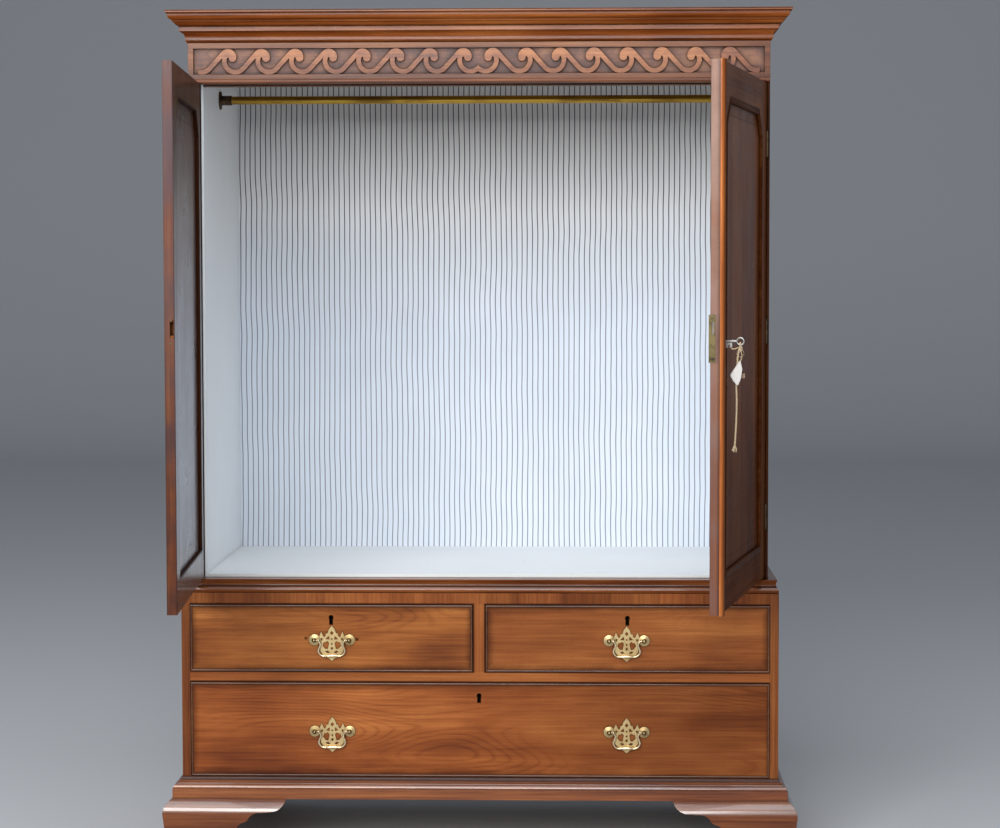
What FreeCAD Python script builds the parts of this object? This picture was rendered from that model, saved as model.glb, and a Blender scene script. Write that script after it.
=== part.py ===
import FreeCAD, Part
import math
import os

os.makedirs("parts", exist_ok=True)
V = FreeCAD.Vector

# A mahogany linen press: a cupboard with two panelled doors stands on a chest of drawers.
# Lengths are in millimetres. X runs along the front to the right, Y runs to the back and Z up.
# The origin lies on the floor, under the middle of the chest's front plane.

# Chest of drawers
CHEST_WIDTH = 1268.0
CHEST_DEPTH = 585.0
CHEST_SIDE = 18.0
FOOT_HEIGHT = 138.0
BOTTOM_RAIL_HEIGHT = 46.0
LONG_DRAWER_HEIGHT = 202.0
DRAWER_RAIL_HEIGHT = 23.0
SHORT_DRAWER_HEIGHT = 143.5
TOP_RAIL_HEIGHT = 24.5
RAIL_DEPTH = 20.0
CENTRE_STILE_WIDTH = 26.0
BACK_BOARD = 12.0
BACK_BOARD_COUNT = 5
BOARD = 14.0
DUST_BOARD = 10.0
RUNNER_WIDTH = 30.0
SEAM = 0.3

# Upper case
CASE_SETBACK = 22.0
CASE_SIDE = 22.0
LINING = 6.0
CLOTH = 1.5
LIP = 5.0
FLOOR_BOARD = 18.0
WAIST_HEIGHT = 29.0
DOOR_FOOT_GAP = 5.0
DOOR_HEAD_GAP = 1.6
DOOR_HEIGHT = 1041.0
DOOR_THICK = 19.5
DOOR_STOP_GAP = 1.5
DOOR_EDGE_GAP = 1.0
MEETING_GAP = 1.5
FRIEZE_HEIGHT = 85.4
HEAD_RAIL_DROP = 4.0
HEAD_RAIL_HEIGHT = 50.0
CEILING_RISE = 62.4
CORNICE_HEIGHT = 66.2
CORNICE_REACH = 43.0
CORNICE_TOP = 12.0

# Doors
STILE = 62.0
CANT = 52.0
PANEL_THICK = 6.5
PANEL_SINK = 5.5
PANEL_TONGUE = 6.0
PANEL_MOULD_WIDTH = 12.0
PANEL_MOULD_RISE = 1.0
LEFT_DOOR_OPEN = 86.3
RIGHT_DOOR_OPEN = 77.7
BEAD_RADIUS = 9.5
BEAD_STEP = 0.2

# Butt hinges
HINGE_HEIGHT = 50.0
HINGE_INSET = 128.0
KNUCKLE_RADIUS = 4.0
KNUCKLE_ROOM = 0.5
KNUCKLE_GAP = 0.3
PIN_RADIUS = 2.0
PIN_FIT = 0.05
PIN_HEAD_RADIUS = 3.0
PIN_HEAD = 2.5
LEAF = 1.6
LEAF_DEPTH = 17.0
HINGE_PROUD = 1.5

# Door lock, bolt and keys
LOCK_HEIGHT = 90.0
LOCK_WIDTH = 52.0
LOCK_DEPTH = 12.5
LOCK_PROUD = 3.0
BOLT_HEIGHT = 24.0
BOLT_THICK = 5.0
BOLT_LENGTH = 35.0
BOLT_RISE = 20.0
BOLT_FIT = 0.25
BOLT_THROW = 10.0
LOCK_WALL = 1.5
STRIKE_ROOM = 1.0
STRIKE_LIP_HEIGHT = 34.0
STRIKE_LIP_DEPTH = 1.5
KEY_BACKSET = 35.0
KEY_DROP = 5.0
KEYHOLE_RADIUS = 3.6
KEYHOLE_SLOT = 3.6
KEYHOLE_LENGTH = 15.0
DRAWER_KEYHOLE_RADIUS = 4.4
DRAWER_KEYHOLE_SLOT = 6.4
ESCUTCHEON_WALL = 0.8
ESCUTCHEON_DEPTH = 7.0
KEY_SHANK_RADIUS = 2.8
KEY_TIP_IN = 4.0
KEY_BIT_OFF = 4.2
KEY_BIT_LENGTH = 12.6
KEY_BIT_DROP = 13.0
KEY_BIT_THICK = 2.6
KEY_NOTCH = 3.0
KEY_BOW_RADIUS = 6.6
KEY_BOW_WIRE = 1.7
KEY_BOW_OFF = 32.0
KEY_COLLAR_RADIUS = 4.0
KEY_COLLAR = 2.0
SPARE_BOW_RADIUS = 6.8
SPARE_BOW_WIRE = 1.4
SPARE_SHANK_RADIUS = 2.2
SPARE_SHANK = 42.0
SPARE_BIT = 9.0
STRING_RADIUS = 1.1
TAIL_RADIUS = 1.9
STRING_LOOP_RADIUS = 3.2
STRING_KNOT_RADIUS = 2.6
STRING_DROPS = (6.5, 21.7, 34.0, 40.0, 44.0, 42.0)
STRING_SWAYS = (2.5, 2.5, 2.5, -2.0, 1.5, 2.5)
STRING_TURNS = (-7.0, 2.0, 1.5, -1.5, 1.5, -1.0)
TAG_WIDTH = 25.0
TAG_HEIGHT = 46.0
TAG_THICK = 0.8
TAG_TIE_RADIUS = 1.0
TAG_TIE_LENGTH = 2.4
TAG_TIE_DROP = 28.0
TAG_MARGIN = 3.0
TAG_SIDE = 12.5

# Drawers and their brasses
DRAWER_SIDE_GAP = 1.0
DRAWER_TOP_GAP = 1.0
DRAWER_RUN_GAP = 0.3
DRAWER_FRONT = 20.0
DRAWER_SIDE = 10.0
DRAWER_BACK_ROOM = 15.0
DRAWER_BOTTOM = 8.0
DRAWER_BOTTOM_RISE = 8.0
DRAWER_SIDE_DROP = 6.0
GROOVE = 5.0
TAIL_LENGTH = 13.0
TAIL_COUNT = 3
TAIL_FLARE = 3.0
COCKBEAD = 4.0
COCKBEAD_PROUD = 2.5
COCKBEAD_SEAT = 15.0
DRAWER_LOCK_WIDTH = 56.0
DRAWER_LOCK_HEIGHT = 40.0
DRAWER_LOCK_DEPTH = 12.0
DRAWER_LOCK_SINK = 8.0
DRAWER_KEY_DROP = 27.0
HANDLE_OFFSET = 313.0
HANDLE_SINK = 4.0
ROSE_SPACING = 74.0
ROSE_RADIUS = 11.8
ROSE_RIM = 1.6
ROSE_DISH = 3.2
POST_RADIUS = 3.4
POST_LENGTH = 14.0
POST_BALL_RADIUS = 5.2
BAIL_PIN_RADIUS = 1.6
BAIL_PIN_FIT = 0.06
BAIL_PIN_LENGTH = 3.4
BAIL_ROD_RADIUS = 2.1
BAIL_SHOULDER = 6.6
BAIL_DROP = 31.0
BAIL_HALF_WIDTH = 28.0
BAIL_NECK_HALF = 26.0
BAIL_NECK_DROP = 8.0
BAIL_CORNER = 10.0
BAIL_BALL_RADIUS = 3.0
BAIL_BALL_SHIFT = 1.5
BAIL_GRIP_RADIUS = 3.3
BAIL_GRIP_END = 1.4
BAIL_GRIP_HALF = 17.0
PLATE = 1.6
PLATE_HALF = 29.0
PLATE_RISE = 30.5
PLATE_DROP = 45.0

# Hanging rail
HANG_RAIL_RADIUS = 8.8
HANG_RAIL_FIT = 0.1
HANG_RAIL_SETBACK = 242.0
HANG_RAIL_HEADROOM = 79.0
SOCKET_RADIUS = 10.6
SOCKET_LENGTH = 27.0
SOCKET_FLANGE_RADIUS = 20.0
SOCKET_FLANGE = 3.0

# Scroll fret and its border
FRET_PITCH = 70.9
FRET_FIRST = 31.0
FRET_WAVES = 8
FRET_HEIGHT = 53.6
FRET_BAND = 10.0
FRET_THICK = 4.5
CREST_RADIUS = 13.0
BOWL_RADIUS = 23.0
BOWL_SHIFT = 15.3
EYE_RADIUS = 8.0
EYE_SHIFT = 9.7
EYE_DROP = 1.5
BORDER = 11.5
BORDER_TOP = 11.5
BORDER_LOW = 9.9
BORDER_THICK = 5.0
FRIEZE_BEAD = 9.5
FRIEZE_BEAD_REACH = 8.0

# Base
BASE_HEIGHT = 46.0
BASE_REACH = 19.5
FOOT_THICK = 24.0
FOOT_BULGE = 18.0
FOOT_SPREAD = 243.0
FOOT_BLOCK = 60.0
FOOT_BLOCK_RISE = 6.0
BACK_BRACKET = 20.0
BACK_BRACKET_SPREAD = 190.0
BACK_BRACKET_TOE = 110.0

# Outlines in shares of a width and a height. A pair is a straight step to that point and four
# numbers are an arc through the first point to the second.
CORNICE_SHARES = (
    (0.0, 0.0), (0.04, 0.0), (0.13, 0.085), (0.145, 0.085), (0.145, 0.11), (0.19, 0.28, 0.36, 0.365),
    (0.4, 0.365), (0.4, 0.49), (0.37, 0.49), (0.37, 0.51), (0.51, 0.55, 0.62, 0.64), (0.67, 0.64),
    (0.69, 0.7), (0.73, 0.71), (0.85, 0.765, 0.885, 0.865), (0.905, 0.91, 0.975, 0.925), (1.0, 0.925),
    (1.0, 1.0), (0.0, 1.0),
)
WAIST_SHARES = (
    (0.0, 0.0), (0.92, 0.0), (1.0, 0.2, 0.86, 0.42), (0.78, 0.42), (0.78, 0.5), (0.73, 0.7, 0.8, 0.87),
    (0.85, 0.87), (0.85, 1.0), (0.0, 1.0),
)
BASE_SHARES = (
    (0.0, 0.0), (1.0, 0.0), (1.0, 0.44), (0.92, 0.46), (0.86, 0.6, 0.56, 0.66), (0.5, 0.66), (0.42, 0.7),
    (0.42, 0.8), (0.16, 0.85, 0.06, 0.97), (0.0, 0.97),
)
FOOT_SHARES = (
    (0.0, 1.0), (0.8, 0.9, 0.98, 0.7), (0.84, 0.55, 0.5, 0.42), (0.12, 0.24, 0.3, 0.0),
)
FOOT_OUTLINE_SHARES = (
    (0.5, 0.0), (0.53, 0.28, 0.57, 0.54), (0.585, 0.61, 0.6, 0.635), (0.635, 0.66, 0.665, 0.685),
    (0.7, 0.77, 0.79, 0.81), (0.875, 0.825), (0.955, 0.88, 1.0, 1.0),
)
PANEL_MOULD_SHARES = (
    (0.0, 0.0), (1.0, 0.0), (1.0, 0.3), (0.88, 0.85, 0.3, 0.94), (0.26, 1.0), (0.0, 1.0),
)
COCKBEAD_NOSE_SHARE = 0.5
FRIEZE_BEAD_SHARES = ((0.0, 0.0), (0.62, 0.0), (1.0, 0.5, 0.62, 1.0), (0.0, 1.0))

# The pierced plate: half of its edge from the top point to the bottom point, in shares of half
# its width and of its rise above or drop below the roses.
PLATE_EDGE_SHARES = (
    (0.0, 1.0), (0.23, 0.72), (0.3, 0.47), (0.47, 0.42), (0.44, 0.32), (0.56, 0.18), (0.64, 0.27),
    (0.78, 0.57), (0.93, 0.24), (0.94, 0.1), (0.86, -0.02), (0.8, -0.17), (0.84, -0.3),
    (0.86, -0.42), (0.84, -0.54), (0.68, -0.68), (0.5, -0.8), (0.24, -0.86), (0.0, -1.0),
)
PLATE_DIAMOND_SHARES = (
    (0.0, 0.48, 0.14, 0.15), (0.0, 0.06, 0.075, 0.075), (0.0, -0.19, 0.08, 0.06),
    (0.0, -0.4, 0.11, 0.08),
)
PLATE_LEAF_SHARES = (
    ((0.2, 0.27), (0.33, 0.2), (0.46, 0.05), (0.18, 0.02)),
    ((0.2, -0.14), (0.34, -0.05), (0.44, -0.1), (0.6, -0.12), (0.68, -0.27), (0.5, -0.42),
     (0.3, -0.44), (0.24, -0.28)),
    ((0.14, -0.6), (0.3, -0.5), (0.5, -0.54), (0.34, -0.63)),
    ((0.66, 0.08), (0.76, 0.14), (0.84, 0.06), (0.76, -0.06)),
)

# Levels and planes that follow from the sizes above
HALF_CHEST = CHEST_WIDTH / 2
INNER_CHEST = HALF_CHEST - CHEST_SIDE
Y_BACK = CHEST_DEPTH
Y_BOARDS = CHEST_DEPTH - BACK_BOARD
DRAWER_LENGTH = Y_BOARDS - DRAWER_BACK_ROOM
Z_LONG_LOW = FOOT_HEIGHT + BOTTOM_RAIL_HEIGHT
Z_LONG_TOP = Z_LONG_LOW + LONG_DRAWER_HEIGHT
Z_SHORT_LOW = Z_LONG_TOP + DRAWER_RAIL_HEIGHT
Z_SHORT_TOP = Z_SHORT_LOW + SHORT_DRAWER_HEIGHT
Z_CHEST_TOP = Z_SHORT_TOP + TOP_RAIL_HEIGHT
HALF_CASE = HALF_CHEST - CASE_SETBACK
INNER_CASE = HALF_CASE - CASE_SIDE
INNER_LINING = INNER_CASE - LINING
Y_CASE = CASE_SETBACK
Y_STOP = Y_CASE + DOOR_THICK + DOOR_STOP_GAP
Z_FLOOR_BOARD = Z_CHEST_TOP + WAIST_HEIGHT
Z_FLOOR = Z_FLOOR_BOARD + LINING
Z_DOOR_LOW = Z_FLOOR_BOARD + DOOR_FOOT_GAP
Z_DOOR_TOP = Z_DOOR_LOW + DOOR_HEIGHT
Z_DOOR_MID = (Z_DOOR_LOW + Z_DOOR_TOP) / 2
Z_FRIEZE_LOW = Z_DOOR_TOP + DOOR_HEAD_GAP
Z_FRIEZE_TOP = Z_FRIEZE_LOW + FRIEZE_HEIGHT
Z_CEILING = Z_FRIEZE_LOW + CEILING_RISE
Z_CORNICE_TOP = Z_FRIEZE_TOP + CORNICE_HEIGHT
Z_CASE_TOP = Z_CORNICE_TOP - CORNICE_TOP
X_DOOR_EDGE = HALF_CASE - LIP - DOOR_EDGE_GAP
X_HINGE = HALF_CASE - LIP - DOOR_EDGE_GAP / 2
Y_HINGE = Y_CASE - HINGE_PROUD
X_MEETING = MEETING_GAP / 2
Y_DOOR_BACK = Y_CASE + DOOR_THICK
UP = V(0, 0, 1)


def box(x0, x1, y0, y1, z0, z1):
    return Part.makeBox(x1 - x0, y1 - y0, z1 - z0, V(x0, y0, z0))


def mirrored(shape):
    return shape.mirror(V(0, 0, 0), V(1, 0, 0))


def rod(radius, start, end):
    return Part.makeCylinder(radius, (end - start).Length, start, end - start)


def outline_edges(steps):
    edges = []
    here = V(steps[0][0], 0, steps[0][1])
    for step in steps[1:]:
        end = V(step[-2], 0, step[-1])
        if len(step) > 2:
            edges.append(Part.Arc(here, V(step[0], 0, step[1]), end).toShape())
        else:
            edges.append(Part.LineSegment(here, end).toShape())
        here = end
    first = V(steps[0][0], 0, steps[0][1])
    if (here - first).Length > SEAM / 100:
        edges.append(Part.LineSegment(here, first).toShape())
    return edges


def outline_face(steps):
    return Part.Face(Part.Wire(Part.__sortEdges__(outline_edges(steps))))


def scaled(shares, wide, high):
    return [[s * (wide, high)[i % 2] for i, s in enumerate(step)] for step in shares]


def polygon_prism(points, depth_dir):
    wire = Part.makePolygon(list(points) + [points[0]])
    return Part.Face(wire).extrude(depth_dir)


def mitred(points, closed, reach, face, origin, a, b):
    """Lengths of moulding along a path in the plane of a and b, to the right of the way it runs.
    The section's width lies across the path and its height along a x b. Corners are mitred."""
    k = a.cross(b)
    count = len(points)
    ways = []
    for i in range(count if closed else count - 1):
        p, q = points[i], points[(i + 1) % count]
        run = math.hypot(q[0] - p[0], q[1] - p[1])
        ways.append(((q[0] - p[0]) / run, (q[1] - p[1]) / run, run))

    def slant(i, j, way):
        if not closed and (i < 0 or j >= len(ways)):
            return 0.0
        s, t = ways[i % len(ways)], ways[j % len(ways)]
        n = (s[1] + t[1], -s[0] - t[0])
        grow = 1 + s[1] * t[1] + s[0] * t[0]
        return (n[0] * way[0] + n[1] * way[1]) / grow

    pieces = []
    for i, way in enumerate(ways):
        e0, e1 = slant(i - 1, i, way), slant(i, i + 1, way)
        run = way[2]
        over = 2 * reach
        bar = face.copy()
        bar.translate(V(0, -over, 0))
        bar = bar.extrude(V(0, run + 2 * over, 0))
        box_ = bar.BoundBox
        corners = [
            V(-over, -over * e0, box_.ZMin - reach), V(-over, run - over * e1, box_.ZMin - reach),
            V(over, run + over * e1, box_.ZMin - reach), V(over, over * e0, box_.ZMin - reach),
        ]
        piece = bar.common(polygon_prism(corners, V(0, 0, box_.ZLength + 2 * reach)))
        t = a * way[0] + b * way[1]
        n = a * way[1] - b * way[0]
        o = origin + a * points[i][0] + b * points[i][1]
        piece.Placement = FreeCAD.Placement(FreeCAD.Matrix(
            n.x, t.x, k.x, o.x, n.y, t.y, k.y, o.y, n.z, t.z, k.z, o.z, 0, 0, 0, 1))
        pieces.append(piece)
    return pieces


PLAN = (V(1, 0, 0), V(0, 1, 0))
FACE = (V(1, 0, 0), V(0, 0, 1))
NODES = {}


def keep(name, *solids):
    flat = []
    for s in solids:
        flat += s.Solids
    NODES[name] = flat[0] if len(flat) == 1 else Part.makeCompound(flat)


def boards(half, y0, y1, z0, z1):
    wide = 2 * half / BACK_BOARD_COUNT
    return [
        box(-half + i * wide + SEAM / 2, -half + (i + 1) * wide - SEAM / 2, y0, y1, z0, z1)
        for i in range(BACK_BOARD_COUNT)
    ]


# The chest's carcass
chest_side = box(INNER_CHEST, HALF_CHEST, 0, Y_BACK, FOOT_HEIGHT, Z_CHEST_TOP)
keep("chest_right_side", chest_side)
keep("chest_left_side", mirrored(chest_side))
keep("chest_top_board",
     box(-INNER_CHEST, INNER_CHEST, RAIL_DEPTH, Y_BOARDS, Z_CHEST_TOP - BOARD, Z_CHEST_TOP))
keep("chest_bottom_board",
     box(-INNER_CHEST, INNER_CHEST, RAIL_DEPTH, Y_BOARDS, Z_LONG_LOW - BOARD, Z_LONG_LOW))
keep("chest_back_boards", *boards(INNER_CHEST, Y_BOARDS, Y_BACK, FOOT_HEIGHT, Z_CHEST_TOP))
keep("dust_board",
     box(-INNER_CHEST, INNER_CHEST, RAIL_DEPTH, Y_BOARDS, Z_SHORT_LOW - DUST_BOARD, Z_SHORT_LOW))
half_stile = CENTRE_STILE_WIDTH / 2
keep("drawer_partition",
     box(-half_stile, half_stile, RAIL_DEPTH, Y_BOARDS, Z_SHORT_LOW, Z_CHEST_TOP - BOARD))
z_under_dust = Z_SHORT_LOW - DUST_BOARD
runners = [
    box(INNER_CHEST - RUNNER_WIDTH, INNER_CHEST, RAIL_DEPTH, Y_BOARDS, Z_LONG_TOP, z_under_dust),
    box(INNER_CHEST - RUNNER_WIDTH, INNER_CHEST, RAIL_DEPTH, Y_BOARDS, Z_SHORT_TOP,
        Z_CHEST_TOP - BOARD),
]
keep("drawer_runners", *runners, *[mirrored(r) for r in runners])
keep("chest_front_frame",
     box(-INNER_CHEST, INNER_CHEST, 0, RAIL_DEPTH, FOOT_HEIGHT, Z_LONG_LOW),
     box(-INNER_CHEST, INNER_CHEST, 0, RAIL_DEPTH, Z_LONG_TOP, Z_SHORT_LOW),
     box(-half_stile, half_stile, 0, RAIL_DEPTH, Z_SHORT_LOW, Z_SHORT_TOP),
     box(-INNER_CHEST, INNER_CHEST, 0, RAIL_DEPTH, Z_SHORT_TOP, Z_CHEST_TOP))


def around(half, front, back):
    return [(-half, back), (-half, front), (half, front), (half, back)]


keep("base_moulding", *mitred(
    around(HALF_CHEST, 0, Y_BACK), False, BASE_REACH,
    outline_face(scaled(BASE_SHARES, BASE_REACH, BASE_HEIGHT)), V(0, 0, FOOT_HEIGHT), *PLAN))
keep("waist_moulding", *mitred(
    around(HALF_CASE, Y_CASE, Y_BACK), False, CASE_SETBACK,
    outline_face(scaled(WAIST_SHARES, CASE_SETBACK, WAIST_HEIGHT)), V(0, 0, Z_CHEST_TOP), *PLAN))

# Ogee bracket feet, mitred at the front corners
HALF_FOOT = HALF_CHEST + BASE_REACH
foot_steps = [(-FOOT_THICK, FOOT_HEIGHT)] + scaled(FOOT_SHARES, FOOT_BULGE, FOOT_HEIGHT)
foot_face = outline_face(foot_steps + [(-FOOT_THICK, 0)])
foot_steps = [(-FOOT_SPREAD, 0)] + scaled(FOOT_OUTLINE_SHARES, FOOT_SPREAD, FOOT_HEIGHT)
foot_blank = outline_face(foot_steps + [(-FOOT_SPREAD, FOOT_HEIGHT)])
foot_blank.translate(V(0, -FOOT_SPREAD, 0))
foot_blank = foot_blank.extrude(V(0, 2 * FOOT_SPREAD, 0))
front_bracket, side_bracket = foot_blank.copy(), foot_blank.copy()
front_bracket.rotate(V(0, 0, 0), UP, 180)
front_bracket.translate(V(HALF_FOOT, -BASE_REACH, 0))
side_bracket.rotate(V(0, 0, 0), UP, 90)
side_bracket.translate(V(HALF_FOOT, -BASE_REACH, 0))
brackets = mitred(
    [(HALF_FOOT - FOOT_SPREAD, -BASE_REACH), (HALF_FOOT, -BASE_REACH),
     (HALF_FOOT, FOOT_SPREAD - BASE_REACH)], False, FOOT_THICK + FOOT_BULGE, foot_face, V(0, 0, 0),
    *PLAN)
front_foot = [brackets[0].common(front_bracket), brackets[1].common(side_bracket)]
x_in = HALF_FOOT - FOOT_THICK
y_in = FOOT_THICK - BASE_REACH
front_block = box(x_in - FOOT_BLOCK, x_in, y_in, y_in + FOOT_BLOCK, FOOT_BLOCK_RISE, FOOT_HEIGHT)
side_bracket = foot_blank.copy()
side_bracket.rotate(V(0, 0, 0), UP, -90)
side_bracket.translate(V(HALF_FOOT, Y_BACK, 0))
back_side = mitred([(HALF_FOOT, Y_BACK - FOOT_SPREAD), (HALF_FOOT, Y_BACK)], False,
                   FOOT_THICK + FOOT_BULGE, foot_face, V(0, 0, 0), *PLAN)[0].common(side_bracket)
back_flat = polygon_prism(
    [V(x_in, Y_BACK, 0), V(x_in, Y_BACK, FOOT_HEIGHT),
     V(x_in - BACK_BRACKET_SPREAD, Y_BACK, FOOT_HEIGHT), V(x_in - BACK_BRACKET_TOE, Y_BACK, 0)],
    V(0, -BACK_BRACKET, 0))
y_in = Y_BACK - BACK_BRACKET
back_block = box(x_in - FOOT_BLOCK, x_in, y_in - FOOT_BLOCK, y_in, FOOT_BLOCK_RISE, FOOT_HEIGHT)
front_foot.append(front_block)
back_foot = [back_side, back_flat, back_block]
keep("front_feet", *front_foot, *[mirrored(s) for s in front_foot])
keep("back_feet", *back_foot, *[mirrored(s) for s in back_foot])

# The case above, its white lining and the striped cloth on its back
case_side = box(INNER_CASE, HALF_CASE, Y_CASE, Y_BACK, Z_CHEST_TOP, Z_CASE_TOP)
case_side = case_side.cut(
    box(INNER_CASE - LIP, HALF_CASE - LIP, 0, Y_STOP, Z_FLOOR_BOARD, Z_FRIEZE_LOW))
case_side = case_side.cut(
    box(INNER_CASE - LIP, HALF_CASE + LIP, 0, Y_STOP, Z_FRIEZE_LOW, Z_CORNICE_TOP))
keep("case_floor_board", box(-INNER_CASE, INNER_CASE, Y_CASE, Y_BOARDS,
                             Z_FLOOR_BOARD - FLOOR_BOARD, Z_FLOOR_BOARD))
keep("case_top_board", box(-INNER_CASE, INNER_CASE, Y_STOP, Y_BOARDS, Z_CEILING, Z_CEILING + BOARD))
keep("case_back_boards", *boards(INNER_CASE, Y_BOARDS, Y_BACK, Z_CHEST_TOP, Z_CASE_TOP))
keep("floor_lining", box(-INNER_CASE, INNER_CASE, Y_STOP, Y_BOARDS, Z_FLOOR_BOARD, Z_FLOOR))
side_lining = box(INNER_LINING, INNER_CASE, Y_STOP, Y_BOARDS, Z_FLOOR, Z_CEILING)
keep("side_linings", side_lining, mirrored(side_lining))
keep("back_cloth", box(-INNER_LINING, INNER_LINING, Y_BOARDS - CLOTH, Y_BOARDS, Z_FLOOR, Z_CEILING))
z_head = Z_FRIEZE_LOW - HEAD_RAIL_DROP
keep("head_rail", box(-INNER_LINING, INNER_LINING, Y_STOP, Y_STOP + RAIL_DEPTH, z_head,
                      z_head + HEAD_RAIL_HEIGHT))
keep("frieze_board", box(-HALF_CASE, HALF_CASE, Y_CASE, Y_STOP, Z_FRIEZE_LOW, Z_CASE_TOP))
keep("cornice", *mitred(
    around(HALF_CASE, Y_CASE, Y_BACK), False, CORNICE_REACH,
    outline_face(scaled(CORNICE_SHARES, CORNICE_REACH, CORNICE_HEIGHT)), V(0, 0, Z_FRIEZE_TOP), *PLAN))
keep("cornice_top_board", box(-HALF_CASE, HALF_CASE, Y_CASE, Y_BACK, Z_CASE_TOP, Z_CORNICE_TOP))

# Border of the frieze: flat strips round the ground, with a bead under the lowest
z_ground_low = Z_FRIEZE_LOW + FRIEZE_BEAD + BORDER_LOW
z_ground_top = Z_FRIEZE_TOP - BORDER_TOP
x_ground = HALF_CASE - BORDER
y_border = Y_CASE - BORDER_THICK
strip = [
    box(-HALF_CASE, HALF_CASE, y_border, Y_CASE, z_ground_top, Z_FRIEZE_TOP),
    box(-HALF_CASE, HALF_CASE, y_border, Y_CASE, z_ground_low - BORDER_LOW, z_ground_low),
    box(x_ground, HALF_CASE, y_border, Y_CASE, z_ground_low, z_ground_top),
    box(-HALF_CASE, -x_ground, y_border, Y_CASE, z_ground_low, z_ground_top),
]
bead_face = outline_face(scaled(FRIEZE_BEAD_SHARES, FRIEZE_BEAD_REACH, FRIEZE_BEAD))
frieze_bead = mitred([(-HALF_CASE, Y_CASE), (HALF_CASE, Y_CASE)], False, FRIEZE_BEAD_REACH,
                     bead_face, V(0, 0, Z_FRIEZE_LOW), *PLAN)
keep("frieze_border", *strip, *frieze_bead)

# The running scroll: each wave is a bowl, a slope tangent to bowl and crest, and a ball-ended crest
z_crest = FRET_HEIGHT - CREST_RADIUS - FRET_BAND / 2
z_bowl = BOWL_RADIUS + FRET_BAND / 2
CREST_END_ANGLE = -5.0
BOWL_START_ANGLE = 148.0
TAIL_START_ANGLE = 262.0
CENTRE_END_ANGLE = 348.0
BOTTOM_ANGLE = 270.0
QUARTER_TURN = 90.0
HALF_TURN = 180.0
FULL_TURN = 360.0


def arc_band(x, z, radius, low, high, thick):
    turn = high - low
    ring = Part.makeCylinder(radius + FRET_BAND / 2, thick, V(0, 0, 0), UP, turn)
    ring = ring.cut(Part.makeCylinder(radius - FRET_BAND / 2, 2 * thick, V(0, 0, -thick / 2), UP))
    ring.rotate(V(0, 0, 0), UP, low)
    ring.translate(V(x, z, 0))
    return ring


def straight_band(p, q, thick):
    way = V(q[0] - p[0], q[1] - p[1], 0)
    bar = Part.makeBox(way.Length, FRET_BAND, thick, V(0, -FRET_BAND / 2, 0))
    bar.rotate(V(0, 0, 0), UP, math.degrees(math.atan2(way.y, way.x)))
    bar.translate(V(p[0], p[1], 0))
    return bar


def disc(x, z, radius, thick):
    return Part.makeCylinder(radius, thick, V(x, z, 0), UP)


span_x = FRET_PITCH - BOWL_SHIFT
span_z = z_crest - z_bowl
slope = math.atan2(span_z, span_x)
slope += math.asin((CREST_RADIUS + BOWL_RADIUS) / math.hypot(span_x, span_z))
slope_deg = math.degrees(slope)
across = (-math.sin(slope), math.cos(slope))
bands = []
for wave in range(FRET_WAVES + 1):
    x_crest = -FRET_FIRST - (FRET_WAVES - 1 - wave) * FRET_PITCH
    x_bowl = x_crest - span_x
    first, last = wave == 0, wave == FRET_WAVES
    start = TAIL_START_ANGLE if first else BOWL_START_ANGLE
    end = CENTRE_END_ANGLE if last else BOTTOM_ANGLE + slope_deg
    bands.append(arc_band(x_bowl, z_bowl, BOWL_RADIUS, start, end, FRET_THICK))
    if last:
        continue
    low = (x_bowl - across[0] * BOWL_RADIUS, z_bowl - across[1] * BOWL_RADIUS)
    high = (x_crest + across[0] * CREST_RADIUS, z_crest + across[1] * CREST_RADIUS)
    bands.append(straight_band(low, high, FRET_THICK))
    bands.append(arc_band(x_crest, z_crest, CREST_RADIUS, CREST_END_ANGLE, slope_deg + QUARTER_TURN,
                          FRET_THICK))
    bands.append(Part.makeCylinder(CREST_RADIUS, FRET_THICK, V(x_crest, z_crest, 0), UP, HALF_TURN))
    bands.append(disc(x_crest + EYE_SHIFT, z_crest - EYE_DROP, EYE_RADIUS, FRET_THICK))
    if first:
        tip = math.radians(TAIL_START_ANGLE)
        bands.append(disc(x_bowl + BOWL_RADIUS * math.cos(tip), z_bowl + BOWL_RADIUS * math.sin(tip),
                          FRET_BAND / 2, FRET_THICK))
fret = bands[0].multiFuse(bands[1:])
fret = fret.cut(box(0, FRET_PITCH, -FRET_HEIGHT, 2 * FRET_HEIGHT, -FRET_THICK, 2 * FRET_THICK))
fret = fret.removeSplitter()
fret.rotate(V(0, 0, 0), V(1, 0, 0), QUARTER_TURN)
fret.translate(V(0, Y_CASE, z_ground_low))
keep("scroll_fret", fret, mirrored(fret))

# Hanging rail of brass tube in two flanged sockets
y_rail = Y_STOP + HANG_RAIL_SETBACK
z_rail = Z_CEILING - HANG_RAIL_HEADROOM
x_flange = INNER_LINING - SOCKET_FLANGE
keep("hanging_rail", rod(HANG_RAIL_RADIUS, V(-x_flange, y_rail, z_rail), V(x_flange, y_rail, z_rail)))
socket = rod(SOCKET_RADIUS, V(INNER_LINING - SOCKET_LENGTH, y_rail, z_rail), V(x_flange, y_rail, z_rail))
socket = socket.cut(rod(HANG_RAIL_RADIUS + HANG_RAIL_FIT, V(0, y_rail, z_rail),
                        V(HALF_CASE, y_rail, z_rail)))
socket = socket.fuse(rod(SOCKET_FLANGE_RADIUS, V(x_flange, y_rail, z_rail),
                         V(INNER_LINING, y_rail, z_rail)))
keep("rail_sockets", socket, mirrored(socket))

# Butt hinges of the right door, with the door shut
hinge_levels = (Z_DOOR_LOW + HINGE_INSET, Z_DOOR_MID, Z_DOOR_TOP - HINGE_INSET)
knuckle = HINGE_HEIGHT / 3


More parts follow.
